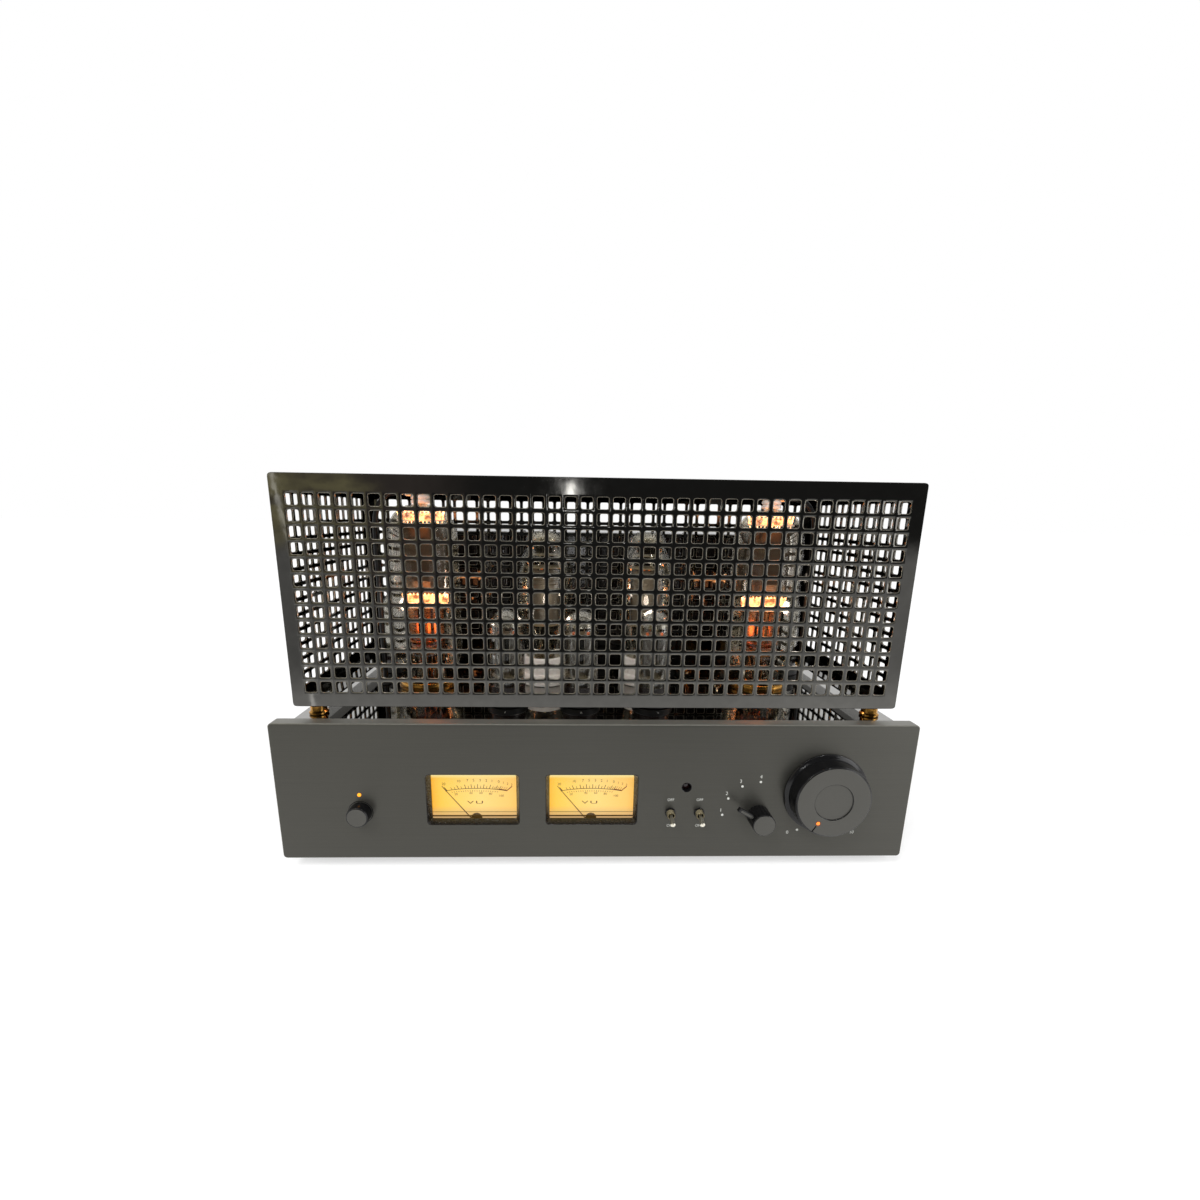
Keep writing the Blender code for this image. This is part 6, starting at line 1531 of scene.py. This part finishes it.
class BuildStage(bpy.types.Operator):
    """Set the floor, lights, reflection cards, background and camera"""
    bl_idname = "amplifier.build_stage"
    bl_label = "Stage"

    def plane(self, name, points, finish):
        """Stage surface through a grid of points."""
        points = np.asarray(points, float)
        mesh = bpy.data.meshes.new(name)
        mesh.from_pydata(points.reshape(-1, 3).tolist(), [], grid_faces(*points.shape[:2]).tolist())
        mesh.shade_smooth()
        mesh.materials.append(finish)
        made = linked(name, mesh)
        return made

    def sun(self, name, strength, place):
        """Very soft sunlight from a direction, the same over the whole floor, left out of reflections."""
        data = bpy.data.lights.new(name, "SUN")
        data.energy, data.angle = strength, math.radians(22)
        made = linked(name, data)
        made.rotation_euler = Vector(place).to_track_quat("Z", "Y").to_euler()
        made.visible_glossy = False
        return made

    def lamp(self, name, size, power, place, aim, shape="RECTANGLE", tint="ffffff"):
        """Area lamp at a place, turned towards a point."""
        data = bpy.data.lights.new(name, "AREA")
        data.shape, data.size, data.size_y, data.energy = shape, size[0], size[1], power
        data.color = linear(tint)[:3]
        made = linked(name, data)
        made.location = place
        made.rotation_euler = (Vector(aim) - Vector(place)).to_track_quat("-Z", "Y").to_euler()
        return made

    def bulb(self, name, place, power, tint):
        """Small round lamp."""
        data = bpy.data.lights.new(name, "POINT")
        data.energy, data.shadow_soft_size, data.color = power, 0.006, linear(tint)[:3]
        made = linked(name, data)
        made.location = place
        return made

    def execute(self, context):
        stage = context.scene.amplifier_stage

        def white_floor(tree, shader):
            """White card: it shows as pure white, and a shadow on it stays grey."""
            settle(shader, Base_Color=(FLOOR_GREY, FLOOR_GREY, FLOOR_GREY, 1), Roughness=0.9,
                   Specular_IOR_Level=0.0, Emission_Color=(1, 1, 1, 1))
            level, socket = calc(tree, "MULTIPLY", eye_rays(tree), FLOOR_GLOW)
            tree.links.new(level.outputs[socket], shader.inputs["Emission Strength"])

        across = np.linspace(-12, 12, 3)
        grid = np.stack(np.meshgrid(across, across, indexing="ij") + [np.zeros((3, 3))], -1)
        self.plane("floor", grid, finish_of("white_card", white_floor))

        def dim_room(tree, shader):
            """Card that only shapes reflections, written as slopes across and down from the place where the
            cage's front mirrors it: dark high up, grey low down and at both sides, with a mottled olive wall at
            the left, a thin bright door edge and one small window."""
            place = add(tree, "TexCoord")
            parts = add(tree, "SeparateXYZ", {"Vector": (place, "Object")})
            aside, depth, height = MIRRORED_VIEW
            away = calc(tree, "SUBTRACT", depth, (parts, "Y"))
            across = calc(tree, "DIVIDE", calc(tree, "SUBTRACT", (parts, "X"), aside), away)
            down = calc(tree, "DIVIDE", calc(tree, "SUBTRACT", height, (parts, "Z")), away)
            side = eased(tree, calc(tree, "ABSOLUTE", across), 0.18, 0.50)
            edge = calc(tree, "MULTIPLY_ADD", side, -0.215, 0.274)
            lit = eased(tree, calc(tree, "SUBTRACT", down, edge), -0.03, 0.03)
            grey = calc(tree, "ADD", eased(tree, down, 0.27, 0.37, 0.43, 0.98),
                        eased(tree, across, 0.2, 0.5, 0, 0.25))
            grey = calc(tree, "MULTIPLY_ADD", grey, lit, 0.07)
            spread = add(tree, "CombineXYZ", {"X": across, "Y": down})
            stretch = add(tree, "Mapping", {"Vector": (spread, "Vector"), "Scale": (9, 28, 1)})
            mottle = add(tree, "TexNoise", {"Vector": (stretch, "Vector"), "Scale": 1.0, "Detail": 3.0})
            wall = calc(tree, "MULTIPLY", eased(tree, across, -0.40, -0.32, 1, 0),
                        eased(tree, (mottle, "Fac"), 0.4, 0.66, 0.12, 1))
            brown = calc(tree, "MULTIPLY", eased(tree, across, -0.30, -0.14, 1, 0), 0.14)
            dark = calc(tree, "SUBTRACT", 1.0, lit)
            line = calc(tree, "SUBTRACT", across, eased(tree, down, -0.06, 0.12, -0.523, -0.495))
            line = eased(tree, calc(tree, "ABSOLUTE", line), 0.0015, 0.0045, 2.0, 0)
            sideways = calc(tree, "ABSOLUTE", calc(tree, "ADD", across, 0.003))
            upright = calc(tree, "ABSOLUTE", calc(tree, "ADD", down, 0.035))
            window = calc(tree, "MULTIPLY", eased(tree, sideways, 0.003, 0.010, 10, 0),
                          eased(tree, upright, 0.008, 0.026, 1, 0))
            white = calc(tree, "ADD", grey, calc(tree, "ADD", line, window))
            shares = []
            for olive, umber in ((0.62, 1.0), (0.58, 0.78), (0.26, 0.7)):
                warm = calc(tree, "ADD", calc(tree, "MULTIPLY", wall, olive), calc(tree, "MULTIPLY", brown, umber))
                shares.append(calc(tree, "MULTIPLY_ADD", warm, dark, white))
            total = add(tree, "CombineColor", dict(zip(("Red", "Green", "Blue"), shares)))
            settle(shader, Base_Color=linear("000000"), Roughness=1.0, Specular_IOR_Level=0.0,
                   Emission_Strength=1.0)
            tree.links.new(total.outputs["Color"], shader.inputs["Emission Color"])

        # Card swept from the floor up behind the camera, seen only in reflections
        rise = np.linspace(0, math.pi / 2, 9)
        section = [(-0.45, 0.002), (-0.8, 0.002), (-1.2, 0.002)]
        section += [(-1.2 - 0.9 * math.sin(a), 0.9 - 0.898 * math.cos(a)) for a in rise[1:]]
        section.append((-2.1, 3.0))
        widths = np.linspace(-2.6, 2.6, 5)
        points = [[(x, y, z) for x in widths] for y, z in section]
        card = self.plane("reflection_card", points, finish_of("dim_room_card", dim_room))
        for way in ("camera", "diffuse", "transmission", "shadow", "volume_scatter"):
            setattr(card, f"visible_{way}", False)

        self.sun("key_sun", stage.key, (-0.55, -0.65, 1.0))
        self.sun("fill_sun", stage.fill, (0.25, -1.2, 1.0))
        self.lamp("streak_lamp", (0.03, 0.12), 1.2, (-0.03, -2.0, 0.36), (0, -0.17, 0.28))
        self.lamp("side_lamp", (0.6, 0.6), 3.0, (1.1, -0.9, 0.35), (0.15, -0.18, 0.06))
        sparks = ((-0.49, -0.93, 0.76), (0.35, -0.82, 1.09), (1.02, -0.58, 0.84), (-0.35, -1.15, 1.35))
        for index, place in enumerate(sparks):
            self.lamp(f"spark_lamp_{index}", (0.07, 0.07), 0.6, place, (0.1, -0.18, 0.08), "DISK")
        # Light of the filaments on the valves' inner parts, and soft light that reaches in under the cage
        for name in ("left_output_bulb", "right_output_bulb"):
            x, y, _ = centre_of(name)
            for rise, ahead, power in ((0.077, 0.022, 0.018), (0.148, 0.020, 0.018), (0.050, 0.024, 0.010)):
                self.bulb("filament_light", (x, y - ahead, DECK + rise), power, "ff9a5c")
        for x in (-0.187, -0.0455, 0.0455, 0.187):
            self.bulb("inner_light", (x * 0.9, -0.118, DECK + 0.075), 0.022, "fff2e6")

        world = bpy.data.worlds.new("studio")
        context.scene.world = world
        world.use_nodes = True
        tree = world.node_tree
        back = tree.nodes["Background"]
        level = add(tree, "MapRange", {"Value": eye_rays(tree), "To Min": stage.ambient, "To Max": 1.0})
        tree.links.new(level.outputs["Result"], back.inputs["Strength"])
        back.inputs["Color"].default_value = (1, 1, 1, 1)

        data = bpy.data.cameras.new("camera")
        data.sensor_width, data.lens = 36, stage.lens
        data.shift_x, data.shift_y = 0.0109, 0.0344
        data.clip_start, data.clip_end = 0.02, 60
        camera = linked("camera", data)
        pitch, yaw, roll = (math.radians(value) for value in (13.218, 1.708, 0.847))
        ahead = Vector((math.sin(yaw) * math.cos(pitch), math.cos(yaw) * math.cos(pitch), -math.sin(pitch)))
        level_right = Vector((math.cos(yaw), -math.sin(yaw), 0))
        level_up = level_right.cross(ahead)
        right = math.cos(roll) * level_right + math.sin(roll) * level_up
        up = -math.sin(roll) * level_right + math.cos(roll) * level_up
        turn = Matrix((right, up, -ahead)).transposed().to_4x4()
        camera.matrix_world = Matrix.Translation((-0.0212, FRONT - 0.3724, 0.2701)) @ turn
        context.scene.camera = camera
        context.scene.view_settings.view_transform = "Standard"
        return {"FINISHED"}


OPERATORS = (BuildPanel, BuildMeters, BuildVolume, BuildSelector, BuildPower, BuildToggles, BuildCage,
             BuildChassis, BuildOutputValves, BuildDriverValves, BuildSmallValves, BuildTransformers,
             BuildSockets, BuildStage)


class AmplifierPanel(bpy.types.Panel):
    """Lists the amplifier's settings and builders"""
    bl_idname = "VIEW3D_PT_amplifier"
    bl_label = "Valve Amplifier"
    bl_space_type = "VIEW_3D"
    bl_region_type = "UI"
    bl_category = "Amplifier"

    def draw(self, context):
        layout = self.layout
        scene = context.scene
        for group in (scene.amplifier_finish, scene.amplifier_shape, scene.amplifier_stage):
            box = layout.box()
            for name in group.__annotations__:
                box.prop(group, name)
        for operator in OPERATORS:
            layout.operator(operator.bl_idname)


CLASSES = (AmplifierFinish, AmplifierShape, AmplifierStage, *OPERATORS, AmplifierPanel)


def register():
    """Register the classes and attach the settings to the scene."""
    for item in CLASSES:
        bpy.utils.register_class(item)
    bpy.types.Scene.amplifier_finish = PointerProperty(type=AmplifierFinish)
    bpy.types.Scene.amplifier_shape = PointerProperty(type=AmplifierShape)
    bpy.types.Scene.amplifier_stage = PointerProperty(type=AmplifierStage)


def unregister():
    """Detach the settings and take the classes away."""
    del bpy.types.Scene.amplifier_finish
    del bpy.types.Scene.amplifier_shape
    del bpy.types.Scene.amplifier_stage
    for item in reversed(CLASSES):
        bpy.utils.unregister_class(item)


def main():
    register()
    for operator in OPERATORS:
        group, name = operator.bl_idname.split(".")
        getattr(getattr(bpy.ops, group), name)()


if __name__ == "__main__":
    main()
